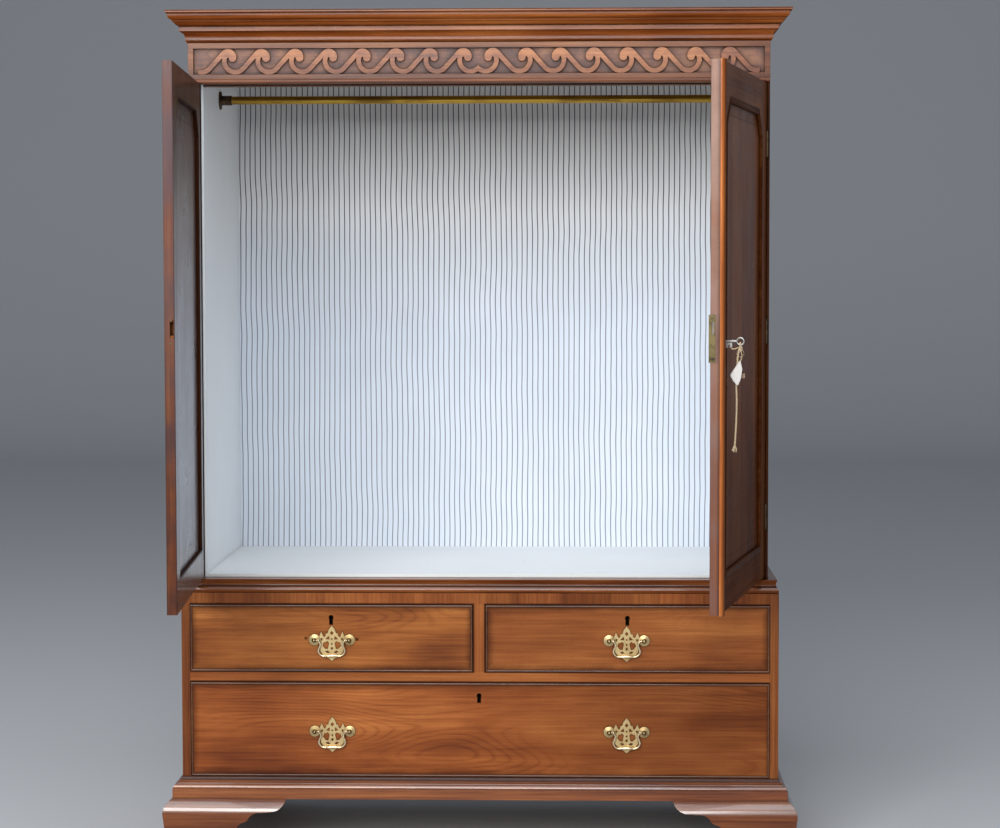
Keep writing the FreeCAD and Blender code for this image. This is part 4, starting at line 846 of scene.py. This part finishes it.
# %% [markdown]
# The inside is painted white with a touch of blue, a little uneven from the brush, with dirt and
# painted shade in the corners. The floor and the sides have the same paint in two tones, and the
# difference is painted light. The boards that nobody sees are bare pine, and the drawers are lined
# with oak. Pine and oak need only two layers of grain, so they share a simpler finish than the
# mahogany's.

# %% Paint and plain boards
PAINT_STOPS = ((0.3, (0.87, 0.91, 0.93)), (0.7, (0.92, 0.95, 0.965)))
PINE = ((0.3, (0.19, 0.115, 0.058)), (0.68, (0.33, 0.215, 0.115)))
OAK = ((0.3, (0.30, 0.20, 0.10)), (0.68, (0.50, 0.36, 0.20)))
CORNER_REACH = 0.02


def white_paint(name, tone):
    material, tree, shader = finish(name)
    place = local(tree)
    colour = ramp(tree, noise(tree, place, scale=3.5, detail=4.0), toned(PAINT_STOPS, tone))
    # Dirt and painted shade grey the corners.
    corner_dirt_shade = spread(tree, corners(tree, CORNER_REACH), 0.2, 0.7, 0.5, 0.0)
    colour = blend(tree, corner_dirt_shade, colour, (0.30, 0.30, 0.28))
    marks = noise(tree, stretched(tree, place, 40.0, 6.0), detail=5.0, roughness=0.7)
    scuff = times(tree, spread(tree, marks, 0.66, 0.74), 0.14)
    colour = blend(tree, scuff, colour, (0.42, 0.40, 0.36))
    shader.inputs["Roughness"].default_value = 0.42
    brush = noise(tree, stretched(tree, place, 160.0, 7.0), detail=3.0)
    colour_and_bump(tree, shader, colour, brush, strength=0.12, depth=0.001)
    return material


def plain_wood(name, rule, stops, seed):
    material, tree, shader = finish(name)
    grain = shifted(tree, rule(tree, local(tree)), seed, (1.0, 0.31, 0.17))
    broad = noise(tree, stretched(tree, grain, 1.1, 34.0), detail=4.0, distortion=0.6)
    fine = noise(tree, stretched(tree, grain, 8.0, 420.0), detail=2.0)
    colour = ramp(tree, total(tree, times(tree, broad, 0.7), times(tree, fine, 0.3)), stops)
    # Dirt and painted shade darken the corners.
    dirt_and_shade = spread(tree, corners(tree, CORNER_REACH), 0.2, 0.8, 0.5, 0.0)
    colour = blend(tree, dirt_and_shade, colour, (0.05, 0.035, 0.022))
    shader.inputs["Roughness"].default_value = 0.68
    colour_and_bump(tree, shader, colour, fine, strength=0.2, depth=0.0008)
    return material


# One paint in two tones: the difference between floor and sides is painted light.
clothe(white_paint("white_floor", 0.88), "floor_lining")
clothe(white_paint("white_sides", 1.0), "side_linings")
clothe(plain_wood("pine_upright", along_z, PINE, 1.0), "chest_back_boards", "case_back_boards")
clothe(plain_wood("pine_level", along_x, PINE, 2.0), "chest_top_board", "chest_bottom_board",
       "dust_board", "case_top_board", "cornice_top_board")
clothe(plain_wood("pine_runners", along_y, PINE, 3.0), "drawer_runners", "drawer_partition")
clothe(plain_wood("oak_lining", along_y, OAK, 4.0), "left_drawer_box", "right_drawer_box",
       "long_drawer_box")
plain = [m.name for m in bpy.data.materials if m.name.startswith(("white", "pine", "oak"))]
print("plain finishes:", plain)

# %% [markdown]
# The handles are bright lacquered brass, and the bails have a lighter copy of it, a painted highlight
# where they catch the light. The slopes of the plates and roses carry painted shade; behind the
# drawers' fronts the same nodes hold the locks and the keyhole rims, painted nearly black as the
# shade inside the keyholes. The rail is older brass with streaks along it.
# The door's lock is green and brown with tarnish, and the hinges and sockets are dark. The key in
# the lock is worn steel and the spare one below it has gone brown. One finish makes them all: a
# bright and a dull colour, mixed by noise and by corners.

# %% Metals
FRONT_PLANE, SPARE_KEY_TOP = -0.0004, 1.115
TARNISH_REACH, METAL_EDGE = 0.004, 0.0006


def as_it_is(tree, place, colour, stain):
    return colour, stain


def keyhole_and_slope_shade(tree, place, colour, stain):
    """Painted shade: locks behind the drawer front nearly black, and darker slopes on the brasses."""
    behind = past(tree, parts_of(tree, place)[1], FRONT_PLANE)
    colour = blend(tree, behind, colour, (0.010, 0.007, 0.005))
    ahead = times(tree, parts_of(tree, normal_of(tree))[1], -1.0)
    slope = spread(tree, ahead, 0.955, 0.9995, 0.72, 0.0)
    return blend(tree, slope, colour, (0.055, 0.034, 0.014)), most(tree, stain, behind)


def brown_below(tree, place, colour, stain):
    low = under(tree, parts_of(tree, place)[2], SPARE_KEY_TOP)
    return blend(tree, low, colour, (0.21, 0.145, 0.105)), stain


def metal(name, bright, dull, cover, rough, grain=(70.0, 70.0), change=as_it_is):
    material, tree, shader = finish(name)
    place = local(tree)
    cloud = noise(tree, stretched(tree, place, *grain), detail=5.0, roughness=0.65)
    broad = noise(tree, place, scale=13.0, detail=3.0)
    patches = total(tree, times(tree, cloud, 0.6), times(tree, broad, 0.5))
    stain = most(tree, spread(tree, patches, 0.48, 0.68, 0.0, cover),
                 spread(tree, corners(tree, TARNISH_REACH), 0.2, 0.75, 0.8, 0.0))
    colour, stain = change(tree, place, blend(tree, stain, bright, dull), stain)
    shader.inputs["Metallic"].default_value = 1.0
    put(tree, shader.inputs["Roughness"], total(tree, rough, times(tree, stain, 0.25)))
    colour_and_bump(tree, shader, colour, cloud, strength=0.06, depth=0.0004,
                    normal=rounded(tree, METAL_EDGE))
    return material


# The brasses carry painted shade on their slopes and in the keyholes behind the fronts.
clothe(metal("bright_brass", (0.62, 0.46, 0.225), (0.24, 0.15, 0.055), cover=0.5, rough=0.36,
             change=keyhole_and_slope_shade),
       "left_drawer_brasses", "right_drawer_brasses", "long_drawer_brasses")
# The bails get a lighter copy of the brass, a painted highlight where they catch the light.
clothe(metal("bail_brass", (0.80, 0.66, 0.42), (0.34, 0.23, 0.10), cover=0.35, rough=0.26),
       "left_drawer_bail", "right_drawer_bail", "long_drawer_left_bail", "long_drawer_right_bail")
clothe(metal("rail_brass", (0.46, 0.28, 0.045), (0.20, 0.105, 0.020), cover=0.8, rough=0.30,
             grain=(9.0, 160.0)),
       "hanging_rail")
clothe(metal("lock_brass", (0.14, 0.112, 0.052), (0.06, 0.05, 0.032), cover=0.9, rough=0.45),
       "door_lock")
clothe(metal("key_steel", (0.40, 0.385, 0.37), (0.17, 0.155, 0.14), cover=0.6, rough=0.40,
             change=brown_below),
       "door_keys")
dark_bronze = metal("dark_bronze", (0.10, 0.064, 0.038), (0.045, 0.03, 0.02), cover=0.8, rough=0.45)
dark_iron = metal("dark_iron", (0.16, 0.14, 0.12), (0.06, 0.045, 0.035), cover=0.8, rough=0.42)
clothe(dark_bronze, "rail_sockets", "case_hinges", "left_door_leaves", "right_door_leaves")
clothe(dark_iron, "lock_bolt")
metal_words = ("brass", "steel", "bronze", "iron")
print("metals:", [m.name for m in bpy.data.materials if m.name.endswith(metal_words)])

# %% [markdown]
# The back of the cupboard is hung with white cotton ticking. Woven navy stripes follow the cloth's
# own map, so they bend with it, and slow noise lets them drift a little. Low down, where more light
# falls, the stripes are painted paler as painted light, and towards the top the white is painted
# greyer as painted shade from the frieze. The weave is too fine for geometry, so two crossed sine
# waves give it as bump.

# %% Striped ticking
STRIPE, LINE_EDGE, YARNS = 0.0122, (0.075, 0.115), 5200.0
DRIFT, SWAY = 0.006, 0.008
TOP_SHADE_HEIGHTS, STRIPE_LIGHT_HEIGHTS = (1.10, 1.55), (1.05, 1.50)


def ticking():
    material, tree, shader = finish("striped_ticking")
    uv = add(tree, "UVMap").outputs[0]
    u, v, _ = parts_of(tree, uv)
    drift = noise(tree, stretched(tree, uv, 9.0, 1.6), detail=2.0)
    sway = noise(tree, stretched(tree, uv, 3.0, 6.5), detail=1.0)
    u = total(tree, u, swing(tree, drift, DRIFT), swing(tree, sway, SWAY))
    from_line = apart(tree, calc(tree, "FRACT", calc(tree, "DIVIDE", u, STRIPE)), 0.5)
    line = spread(tree, from_line, *LINE_EDGE, 1.0, 0.0)
    yarn, weft = (calc(tree, "SINE", times(tree, along, YARNS)) for along in (v, u))
    weave = times(tree, yarn, weft)
    white = ramp(tree, noise(tree, uv, scale=4.0, detail=3.0),
                 ((0.3, (0.66, 0.715, 0.80)), (0.7, (0.71, 0.765, 0.855))))
    # Painted shade: the white turns greyer towards the top, below the frieze.
    white = blend(tree, spread(tree, v, *TOP_SHADE_HEIGHTS), white, (0.66, 0.665, 0.67))
    navy = ramp(tree, total(tree, times(tree, weave, 0.2), 0.5),
                ((0.3, (0.016, 0.018, 0.035)), (0.7, (0.035, 0.04, 0.07))))
    # Painted light: the stripes are paler low down, where more light falls.
    lit_stripe_share = spread(tree, v, *STRIPE_LIGHT_HEIGHTS, 0.72, 0.97)
    colour = blend(tree, times(tree, line, lit_stripe_share), white, navy)
    shader.inputs["Roughness"].default_value = 0.9
    shader.inputs["Sheen Weight"].default_value = 0.15
    colour_and_bump(tree, shader, colour, weave, strength=0.15, depth=0.0003)
    return material


striped_ticking = ticking()
print("ticking with a stripe every", STRIPE * 1000, "mm")

# %% [markdown]
# The cloth is stretched over the boards and tacked at the edges, so it is nearly flat, with shallow
# waves where it has slackened. A simulation would add nothing to a cloth that cannot fall, so a
# grid with two crossing waves makes it.

# %% Back cloth
CLOTH_LOW, CLOTH_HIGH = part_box("back_cloth")
CLOTH_COLUMNS, CLOTH_ROWS = 146, 92
CLOTH_GAP, SLACK, TACKED = 0.0004, 0.0016, 12


def grid_faces(rows, columns):
    """The faces between rows + 1 lines of columns + 1 points."""
    line = columns + 1
    starts = [j * line + i for j in range(rows) for i in range(columns)]
    return [(k, k + 1, k + line + 1, k + line) for k in starts]


def cloth_point(s, t):
    x = CLOTH_LOW.x + (CLOTH_HIGH.x - CLOTH_LOW.x) * s
    z = CLOTH_LOW.z + (CLOTH_HIGH.z - CLOTH_LOW.z) * t
    edge = min(1.0, TACKED * min(s, 1 - s)) * min(1.0, TACKED * min(t, 1 - t))
    wave = (0.5 + 0.28 * math.sin(19 * x + 2.0 * math.sin(3.1 * z))
            + 0.22 * math.sin(31 * x + 5.3 * z + 1.0))
    return x, CLOTH_HIGH.y - CLOTH_GAP - SLACK * wave * edge, z


verts = [cloth_point(i / CLOTH_COLUMNS, j / CLOTH_ROWS)
         for j in range(CLOTH_ROWS + 1) for i in range(CLOTH_COLUMNS + 1)]
mesh = smooth_mesh("striped_cloth", verts, grid_faces(CLOTH_ROWS, CLOTH_COLUMNS), striped_ticking)
layer = mesh.uv_layers.new(name="UVMap")
for loop in mesh.loops:
    layer.data[loop.index].uv = mesh.vertices[loop.vertex_index].co.xz
cloth = shown("striped_cloth", mesh)
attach(cloth, "carcass")
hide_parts("back_cloth")
print("cloth of", len(cloth.data.polygons), "faces")

# %% [markdown]
# What repeats or follows a path is made with Geometry Nodes. A tree gets its named inputs here, the
# result is turned into a plain mesh, and the object that carried the modifier goes. Pieces on a
# door are placed as on the shut door and turned with it.

# %% Geometry Nodes helpers
KINDS = {"Radius": "Float", "Turns": "Float", "Steps": "Int", "Count": "Int", "Seed": "Int",
         "Finish": "Material", "Slot": "Material"}


def new_tree(name, *labels):
    tree = bpy.data.node_groups.new(name, "GeometryNodeTree")
    tree.interface.new_socket("Geometry", in_out="INPUT", socket_type="NodeSocketGeometry")
    for label in labels:
        tree.interface.new_socket(label, in_out="INPUT", socket_type="NodeSocket" + KINDS[label])
    tree.interface.new_socket("Geometry", in_out="OUTPUT", socket_type="NodeSocketGeometry")
    given, result = tree.nodes.new("NodeGroupInput"), tree.nodes.new("NodeGroupOutput")
    return tree, given.outputs, result.inputs[0]


def painted(tree, geometry, finish_socket):
    node = add(tree, "GeometryNodeSetMaterial", Geometry=geometry, Material=finish_socket)
    return node.outputs[0]


def realized(tree, geometry):
    return add(tree, "GeometryNodeRealizeInstances", Geometry=geometry).outputs[0]


def plain_mesh(obj, tree, name, **values):
    modifier = obj.modifiers.new(tree.name, "NODES")
    modifier.node_group = tree
    for item in tree.interface.items_tree:
        if item.in_out == "INPUT" and item.name in values:
            modifier[item.identifier] = values[item.name]
    graph = bpy.context.evaluated_depsgraph_get()
    mesh = bpy.data.meshes.new_from_object(obj.evaluated_get(graph), depsgraph=graph)
    mesh.name = name
    made = shown(name, mesh)
    bpy.data.objects.remove(obj)
    return made


def door_turn(side):
    return Matrix.Rotation(OPENED[side], 3, "Z")


def on_door(point, side=1):
    """Where a point of the shut door, in millimetres, is with the door open."""
    axis = hinge_axis(side)
    return door_turn(side) @ (Vector(point) / 1000 - axis) + axis


print("trees can be built from", len(KINDS), "kinds of input")

# %% [markdown]
# A length of twine hangs from the key's bow. Its line is one smooth curve through the points of its
# route. Two plies are twisted round that line: the curve is tilted along its length and a profile
# of two round strands is swept along it. A second tree sets loose hairs along the same line.

# %% Trees for twine
PLY_SHIFT, PLY_SHARE, PLY_SIDES = 0.46, 0.54, 8
HAIR_ROOT, HAIR_LENGTH = 0.00016, 4.0


def ply_tree():
    """Two strands, each a little over half the twine's Radius, make Turns round each other."""
    tree, given, result = new_tree("twisted_twine", "Radius", "Turns", "Steps", "Finish")
    even = add(tree, "GeometryNodeResampleCurve", Curve=given["Geometry"], Count=given["Steps"])
    share = add(tree, "GeometryNodeSplineParameter").outputs["Factor"]
    angle = times(tree, given["Turns"], math.tau, share)
    tilt = add(tree, "GeometryNodeSetCurveTilt", Curve=even.outputs[0], Tilt=angle)
    strands = add(tree, "GeometryNodeJoinGeometry")
    for shift in (-PLY_SHIFT, PLY_SHIFT):
        circle = add(tree, "GeometryNodeCurvePrimitiveCircle", Resolution=PLY_SIDES,
                     Radius=times(tree, given["Radius"], PLY_SHARE))
        move = add(tree, "GeometryNodeTransform", Geometry=circle.outputs[0],
                   Translation=joined(tree, times(tree, given["Radius"], shift), 0.0, 0.0))
        tree.links.new(move.outputs[0], strands.inputs[0])
    sweep = add(tree, "GeometryNodeCurveToMesh", Curve=tilt.outputs[0],
                Profile_Curve=strands.outputs[0], Fill_Caps=True)
    tree.links.new(painted(tree, realized(tree, sweep.outputs[0]), given["Finish"]), result)
    return tree


def hair_tree():
    """Count thin cones stand out from a line in chance directions."""
    tree, given, result = new_tree("loose_hairs", "Radius", "Count", "Seed", "Finish")
    points = add(tree, "GeometryNodeCurveToPoints", Curve=given["Geometry"], Count=given["Count"])
    cone = add(tree, "GeometryNodeMeshCone", Vertices=3, Radius_Bottom=HAIR_ROOT,
               Depth=times(tree, given["Radius"], HAIR_LENGTH))
    chance = tree.nodes.new("FunctionNodeRandomValue")
    chance.data_type = "FLOAT_VECTOR"
    chance.inputs[0].default_value = (0.0, 0.0, 0.0)
    chance.inputs[1].default_value = (math.tau, math.tau, math.tau)
    put(tree, chance.inputs["Seed"], given["Seed"])
    hairs = add(tree, "GeometryNodeInstanceOnPoints", Points=points.outputs[0],
                Instance=cone.outputs[0], Rotation=chance.outputs[0])
    tree.links.new(painted(tree, realized(tree, hairs.outputs[0]), given["Finish"]), result)
    return tree


twine_plies, loose_hairs = ply_tree(), hair_tree()
print("twine needs", len(twine_plies.nodes), "nodes and its hairs", len(loose_hairs.nodes))

# %% [markdown]
# The twine is pale straw, with painted shade in the groove between its plies. Its route was read from
# the key's bow to the frayed end, so the length of the line is its whole length.

# %% Twine
KEY_ROUTE = ((35.75, -10.0, 1115.2), (28.75, -7.5, 1108.7), (30.75, -5.0, 1087.0),
             (32.25, -2.5, 1053.0), (30.75, -4.5, 1013.0), (32.25, -3.0, 969.0),
             (31.25, -0.5, 927.0))
TWINE_RADIUS, GROOVE_SHADE_REACH = 0.0019, 0.0012


def straw_twine():
    material, tree, shader = finish("straw_twine")
    hair = noise(tree, local(tree), scale=900.0, detail=3.0)
    colour = ramp(tree, hair, ((0.3, (0.42, 0.30, 0.16)), (0.55, (0.68, 0.54, 0.34)),
                               (0.8, (0.82, 0.70, 0.50))))
    # Painted shade in the groove between the plies, found by ambient occlusion.
    groove_shade = spread(tree, corners(tree, GROOVE_SHADE_REACH, samples=4), 0.35, 0.85, 0.85, 0.0)
    colour = blend(tree, groove_shade, colour, (0.10, 0.06, 0.03))
    shader.inputs["Roughness"].default_value = 0.85
    shader.inputs["Sheen Weight"].default_value = 0.3
    colour_and_bump(tree, shader, colour, hair, strength=0.5, depth=0.0003)
    return material


def smooth_lines(name, routes):
    data = bpy.data.curves.new(name, "CURVE")
    data.dimensions = "3D"
    data.resolution_u = 14
    for points in routes:
        spline = data.splines.new("NURBS")
        spline.points.add(len(points) - 1)
        for knot, p in zip(spline.points, points):
            knot.co = (*p, 1.0)
        spline.order_u = 3
        spline.use_endpoint_u = True
    return shown(name, data)


def on_key(piece):
    smoothed(piece.data)
    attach(piece, "key")
    return piece


def twine(name, routes, radius, turns, steps):
    return on_key(plain_mesh(smooth_lines(name + "_line", routes), twine_plies, name, Radius=radius,
                             Turns=turns, Steps=steps, Finish=twine_finish))


twine_finish = straw_twine()
tail_route = [on_door(p) for p in KEY_ROUTE]
bare_line = smooth_lines("tail_line", [tail_route])
tail_path = [tuple(v.co) for v in bare_line.to_mesh().vertices]
hairs = on_key(plain_mesh(bare_line, loose_hairs, "twine_hairs", Radius=TWINE_RADIUS, Count=150,
                          Seed=4, Finish=twine_finish))
tail = twine("key_twine", [tail_route], TWINE_RADIUS, turns=26.0, steps=260)
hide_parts("key_string")

# %% [markdown]
# The loops that tie the twine to both keys are closed rings of the same twisted plies. A thin loop
# holds the paper tag, and the twine's end is frayed into thin fibres. The fibres spread by chance,
# with a fixed seed, so that every run gives the same ones.

# %% Loops, tie and frayed end
KNOT_X, KNOT_Y = 35.75, -10.0
RINGS = ((1119.9, 3.5, 0.0), (1110.9, 3.3, 0.0), (1115.8, 2.2, 1.1), (1114.6, 2.4, 2.6),
         (1113.0, 2.8, 1.6), (1111.0, 2.6, 0.7))
STUB = ((KNOT_X, KNOT_Y, 1115.0), (33.0, -4.0, 1114.0), (31.0, 2.0, 1111.5), (30.0, 6.5, 1112.5))
TAG_TIE = ((35.0, -10.0, 1113.0), (30.0, -14.5, 1102.0), (28.6, -13.0, 1090.0),
           (27.6, -8.0, 1086.0), (28.6, -3.5, 1094.0), (30.5, -6.5, 1104.0))
RING_POINTS = 12
STUB_RADIUS, THREAD_RADIUS = 0.0011, 0.0007
FRAY_SPREAD, FRAY_DROP, FRAY_OVERLAP = 4.2, (7.0, 14.0), 4.0


def ring_points(level, radius, turn):
    out = []
    for i in range(RING_POINTS):
        a = math.tau * i / (RING_POINTS - 1)
        reach = radius * math.cos(a)
        out.append(on_door((KNOT_X + reach * math.cos(turn), KNOT_Y + reach * math.sin(turn),
                            level + radius * math.sin(a))))
    return out


def frayed_end(count, seed):
    chance = random.Random(seed)
    routes = []
    for _ in range(count):
        dx, dy = (chance.uniform(-FRAY_SPREAD, FRAY_SPREAD) for _ in range(2))
        drop = chance.uniform(*FRAY_DROP)
        start = Vector(KEY_ROUTE[-1]) + Vector((0.2 * dx, 0.2 * dy, FRAY_OVERLAP))
        steps = ((0.0, 0.0, 0.0), (0.3 * dx, 0.3 * dy, -0.5 * drop), (dx, dy, -drop))
        routes.append([on_door(start + Vector(step)) for step in steps])
    return routes


loops = [ring_points(*ring) for ring in RINGS]
stub, tie = ([on_door(p) for p in route] for route in (STUB, TAG_TIE))
knot_pieces = [twine("key_loops", loops, TWINE_RADIUS, turns=4.0, steps=60),
               twine("twine_stub", [stub], STUB_RADIUS, turns=3.0, steps=40),
               twine("tag_tie", [tie], THREAD_RADIUS, turns=6.0, steps=70),
               twine("frayed_end", frayed_end(count=14, seed=3), THREAD_RADIUS, turns=1.0, steps=8),
               hairs]
print(len(knot_pieces), "small pieces of twine")

# %% [markdown]
# The paper tag is folded once and hangs slightly open, like a kite. Rows go down the tag; in each
# row one leaf runs out to the fold and the other comes back, so the sheet stays one piece. Two
# lines, one for the fold and one for the open side, give its outline.

# %% Paper tag
TAG_X, TAG_TOP, TAG_DROP, TAG_LENGTH = 27.9, 1089.8, 45.5, 0.046
TAG_ROWS, TAG_COLUMNS = 18, 12
LEAF_GAP, LEAF_OPEN, LEAF_WAVE = 0.3, 0.9, 0.35
FOLD_LINE = ((0.0, -9.5), (0.3, 0.0), (0.6, 9.5), (0.8, 4.0), (1.0, -4.5))
OPEN_LINE = ((0.0, -11.5), (0.35, -15.0), (0.75, -12.0), (1.0, -7.0))


def paper():
    material, tree, shader = finish("tag_paper")
    fibre = noise(tree, local(tree), scale=420.0, detail=4.0)
    colour = ramp(tree, fibre, ((0.3, (0.48, 0.455, 0.43)), (0.7, (0.60, 0.575, 0.55))))
    shader.inputs["Roughness"].default_value = 0.8
    colour_and_bump(tree, shader, colour, fibre, strength=0.2, depth=0.0003)
    return material


def on_line(stops, t):
    for (t0, v0), (t1, v1) in zip(stops, stops[1:]):
        if t <= t1:
            return v0 + (v1 - v0) * (t - t0) / (t1 - t0)
    return stops[-1][1]


def tag_point(i, t):
    """Point i of the row that lies a share of t down the tag."""
    s = abs(2 * i / TAG_COLUMNS - 1)
    leaf = 1 if 2 * i > TAG_COLUMNS else -1
    x = TAG_X + leaf * (LEAF_GAP + LEAF_OPEN * s * t) + LEAF_WAVE * math.sin(5 * t + 3 * s)
    fold, free = on_line(FOLD_LINE, t), on_line(OPEN_LINE, t)
    return on_door((x, fold + (free - fold) * s, TAG_TOP - TAG_DROP * t))


verts = [tag_point(i, j / TAG_ROWS) for j in range(TAG_ROWS + 1) for i in range(TAG_COLUMNS + 1)]
mesh = smooth_mesh("paper_tag", verts, grid_faces(TAG_ROWS, TAG_COLUMNS), paper())
tag = shown("paper_tag", mesh)
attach(tag, "key")
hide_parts("key_tag")

# %% [markdown]
# Slotted screws hold the hinge leaves, the door's lock and the flanges of the rail. Each place is one
# vertex that knows which way it faces; a tree sets a flat head there, turned by chance about its own
# axis. The slot is a thin dark strip on the head, painted shade in place of a cut groove.

# %% Tree for screws
HEAD_SIDES, HEAD_DEPTH = 20, 0.0008
SLOT_LONG, SLOT_WIDE, SLOT_DEPTH = 1.8, 0.28, 0.0002


def chance_turn(tree, seed):
    """A turn by chance about Z, of at most half a circle."""
    chance = tree.nodes.new("FunctionNodeRandomValue")
    chance.data_type = "FLOAT"
    chance.inputs[3].default_value = math.pi
    put(tree, chance.inputs["Seed"], seed)
    spin = tree.nodes.new("FunctionNodeAxisAngleToRotation")
    spin.inputs["Axis"].default_value = (0.0, 0.0, 1.0)
    put(tree, spin.inputs["Angle"], chance.outputs[1])
    return spin.outputs[0]


def facing_out(tree):
    """The turn that points Z the way a place faces."""
    way = tree.nodes.new("GeometryNodeInputNamedAttribute")
    way.data_type = "FLOAT_VECTOR"
    way.inputs["Name"].default_value = "facing"
    stand = tree.nodes.new("FunctionNodeAlignRotationToVector")
    stand.axis = "Z"
    put(tree, stand.inputs["Vector"], way.outputs[0])
    return stand.outputs[0]


def screw_tree():
    tree, given, result = new_tree("screws", "Radius", "Seed", "Finish", "Slot")
    head = add(tree, "GeometryNodeMeshCylinder", Vertices=HEAD_SIDES, Radius=given["Radius"],
               Depth=HEAD_DEPTH)
    # The slot is a thin dark strip standing on the head: painted shade in place of a cut groove.
    slot = add(tree, "GeometryNodeMeshCube",
               Size=joined(tree, times(tree, given["Radius"], SLOT_LONG),
                           times(tree, given["Radius"], SLOT_WIDE), SLOT_DEPTH))
    raised = add(tree, "GeometryNodeTransform", Geometry=slot.outputs[0],
                 Translation=(0.0, 0.0, HEAD_DEPTH / 2))
    both = add(tree, "GeometryNodeJoinGeometry")
    for shape, colour in ((head, "Finish"), (raised, "Slot")):
        tree.links.new(painted(tree, shape.outputs[0], given[colour]), both.inputs[0])
    turned = tree.nodes.new("FunctionNodeRotateRotation")
    turned.rotation_space = "LOCAL"
    put(tree, turned.inputs["Rotation"], facing_out(tree))
    put(tree, turned.inputs["Rotate By"], chance_turn(tree, given["Seed"]))
    placed = add(tree, "GeometryNodeInstanceOnPoints", Points=given["Geometry"],
                 Instance=both.outputs[0], Rotation=turned.outputs[0])
    tree.links.new(realized(tree, placed.outputs[0]), result)
    return tree


screw_heads = screw_tree()
print("a screw needs", len(screw_heads.nodes), "nodes")

# %% [markdown]
# The places are those of the holes in the leaves, the lock, the plate that receives its bolt and
# the flanges. Each body gets its own piece of screws, so that they move with it.

# %% Screws
HINGE_LEVELS = (739.0, 1131.5, 1524.0)
LEAF_HOLES = ([(32.5, level + rise) for level in HINGE_LEVELS for rise in (-17.0, 17.0)]
              + [(29.0, level) for level in HINGE_LEVELS])
CASE_LEAF, DOOR_LEAF = 607.0, 606.0
FLANGE_X, RAIL_Y, RAIL_LEVEL, FLANGE_HOLE = 581.0, 285.0, 1637.0, 15.4
LOCK_MM, LOCK_HOLE = 1000 * LOCK_LEVEL, 38.0
LOCK_EDGE, LOCK_BACK, LOCK_COLUMNS = (0.75, 38.2), 44.5, (7.0, 46.0)
CATCH_EDGE, CATCH_MM, CATCH_HOLE = (-0.75, 34.0), 1146.0, 22.0
CASE_HEAD, DOOR_HEAD = 0.0028, 0.0026


def screws(name, body, places, radius, seed):
    mesh = bpy.data.meshes.new(name + "_places")
    mesh.from_pydata([point for point, _ in places], [], [])
    ways = mesh.attributes.new("facing", "FLOAT_VECTOR", "POINT")
    for item, (_, way) in zip(ways.data, places):
        item.vector = way
    piece = plain_mesh(shown(name + "_places", mesh), screw_heads, name, Radius=radius, Seed=seed,
                       Finish=dark_bronze, Slot=dark_iron)
    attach(piece, body)
    return piece


def door_screw(side, point, way):
    return on_door(point, side), door_turn(side) @ Vector(way)


case_places = [(Vector((s * CASE_LEAF, y, z)) / 1000, Vector((-s, 0, 0)))
               for s in (-1, 1) for y, z in LEAF_HOLES]
case_places += [(Vector((s * FLANGE_X, RAIL_Y, RAIL_LEVEL + rise)) / 1000, Vector((-s, 0, 0)))
                for s in (-1, 1) for rise in (-FLANGE_HOLE, FLANGE_HOLE)]
left_places, right_places = (
    [door_screw(s, (s * DOOR_LEAF, y, z), (s, 0, 0)) for y, z in LEAF_HOLES] for s in (-1, 1))
left_places += [door_screw(-1, (*CATCH_EDGE, CATCH_MM + rise), (1, 0, 0))
                for rise in (-CATCH_HOLE, CATCH_HOLE)]
right_places += [door_screw(1, (*LOCK_EDGE, LOCK_MM + rise), (-1, 0, 0))
                 for rise in (-LOCK_HOLE, LOCK_HOLE)]
right_places += [door_screw(1, (x, LOCK_BACK, LOCK_MM + rise), (0, 1, 0))
                 for x in LOCK_COLUMNS for rise in (-LOCK_HOLE, LOCK_HOLE)]
made = [screws("case_screws", "carcass", case_places, CASE_HEAD, seed=1),
        screws("left_door_screws", "left_door", left_places, DOOR_HEAD, seed=1),
        screws("right_door_screws", "right_door", right_places, DOOR_HEAD, seed=3)]
print("screws on", len(made), "bodies:", sum(len(m.data.polygons) for m in made), "faces")
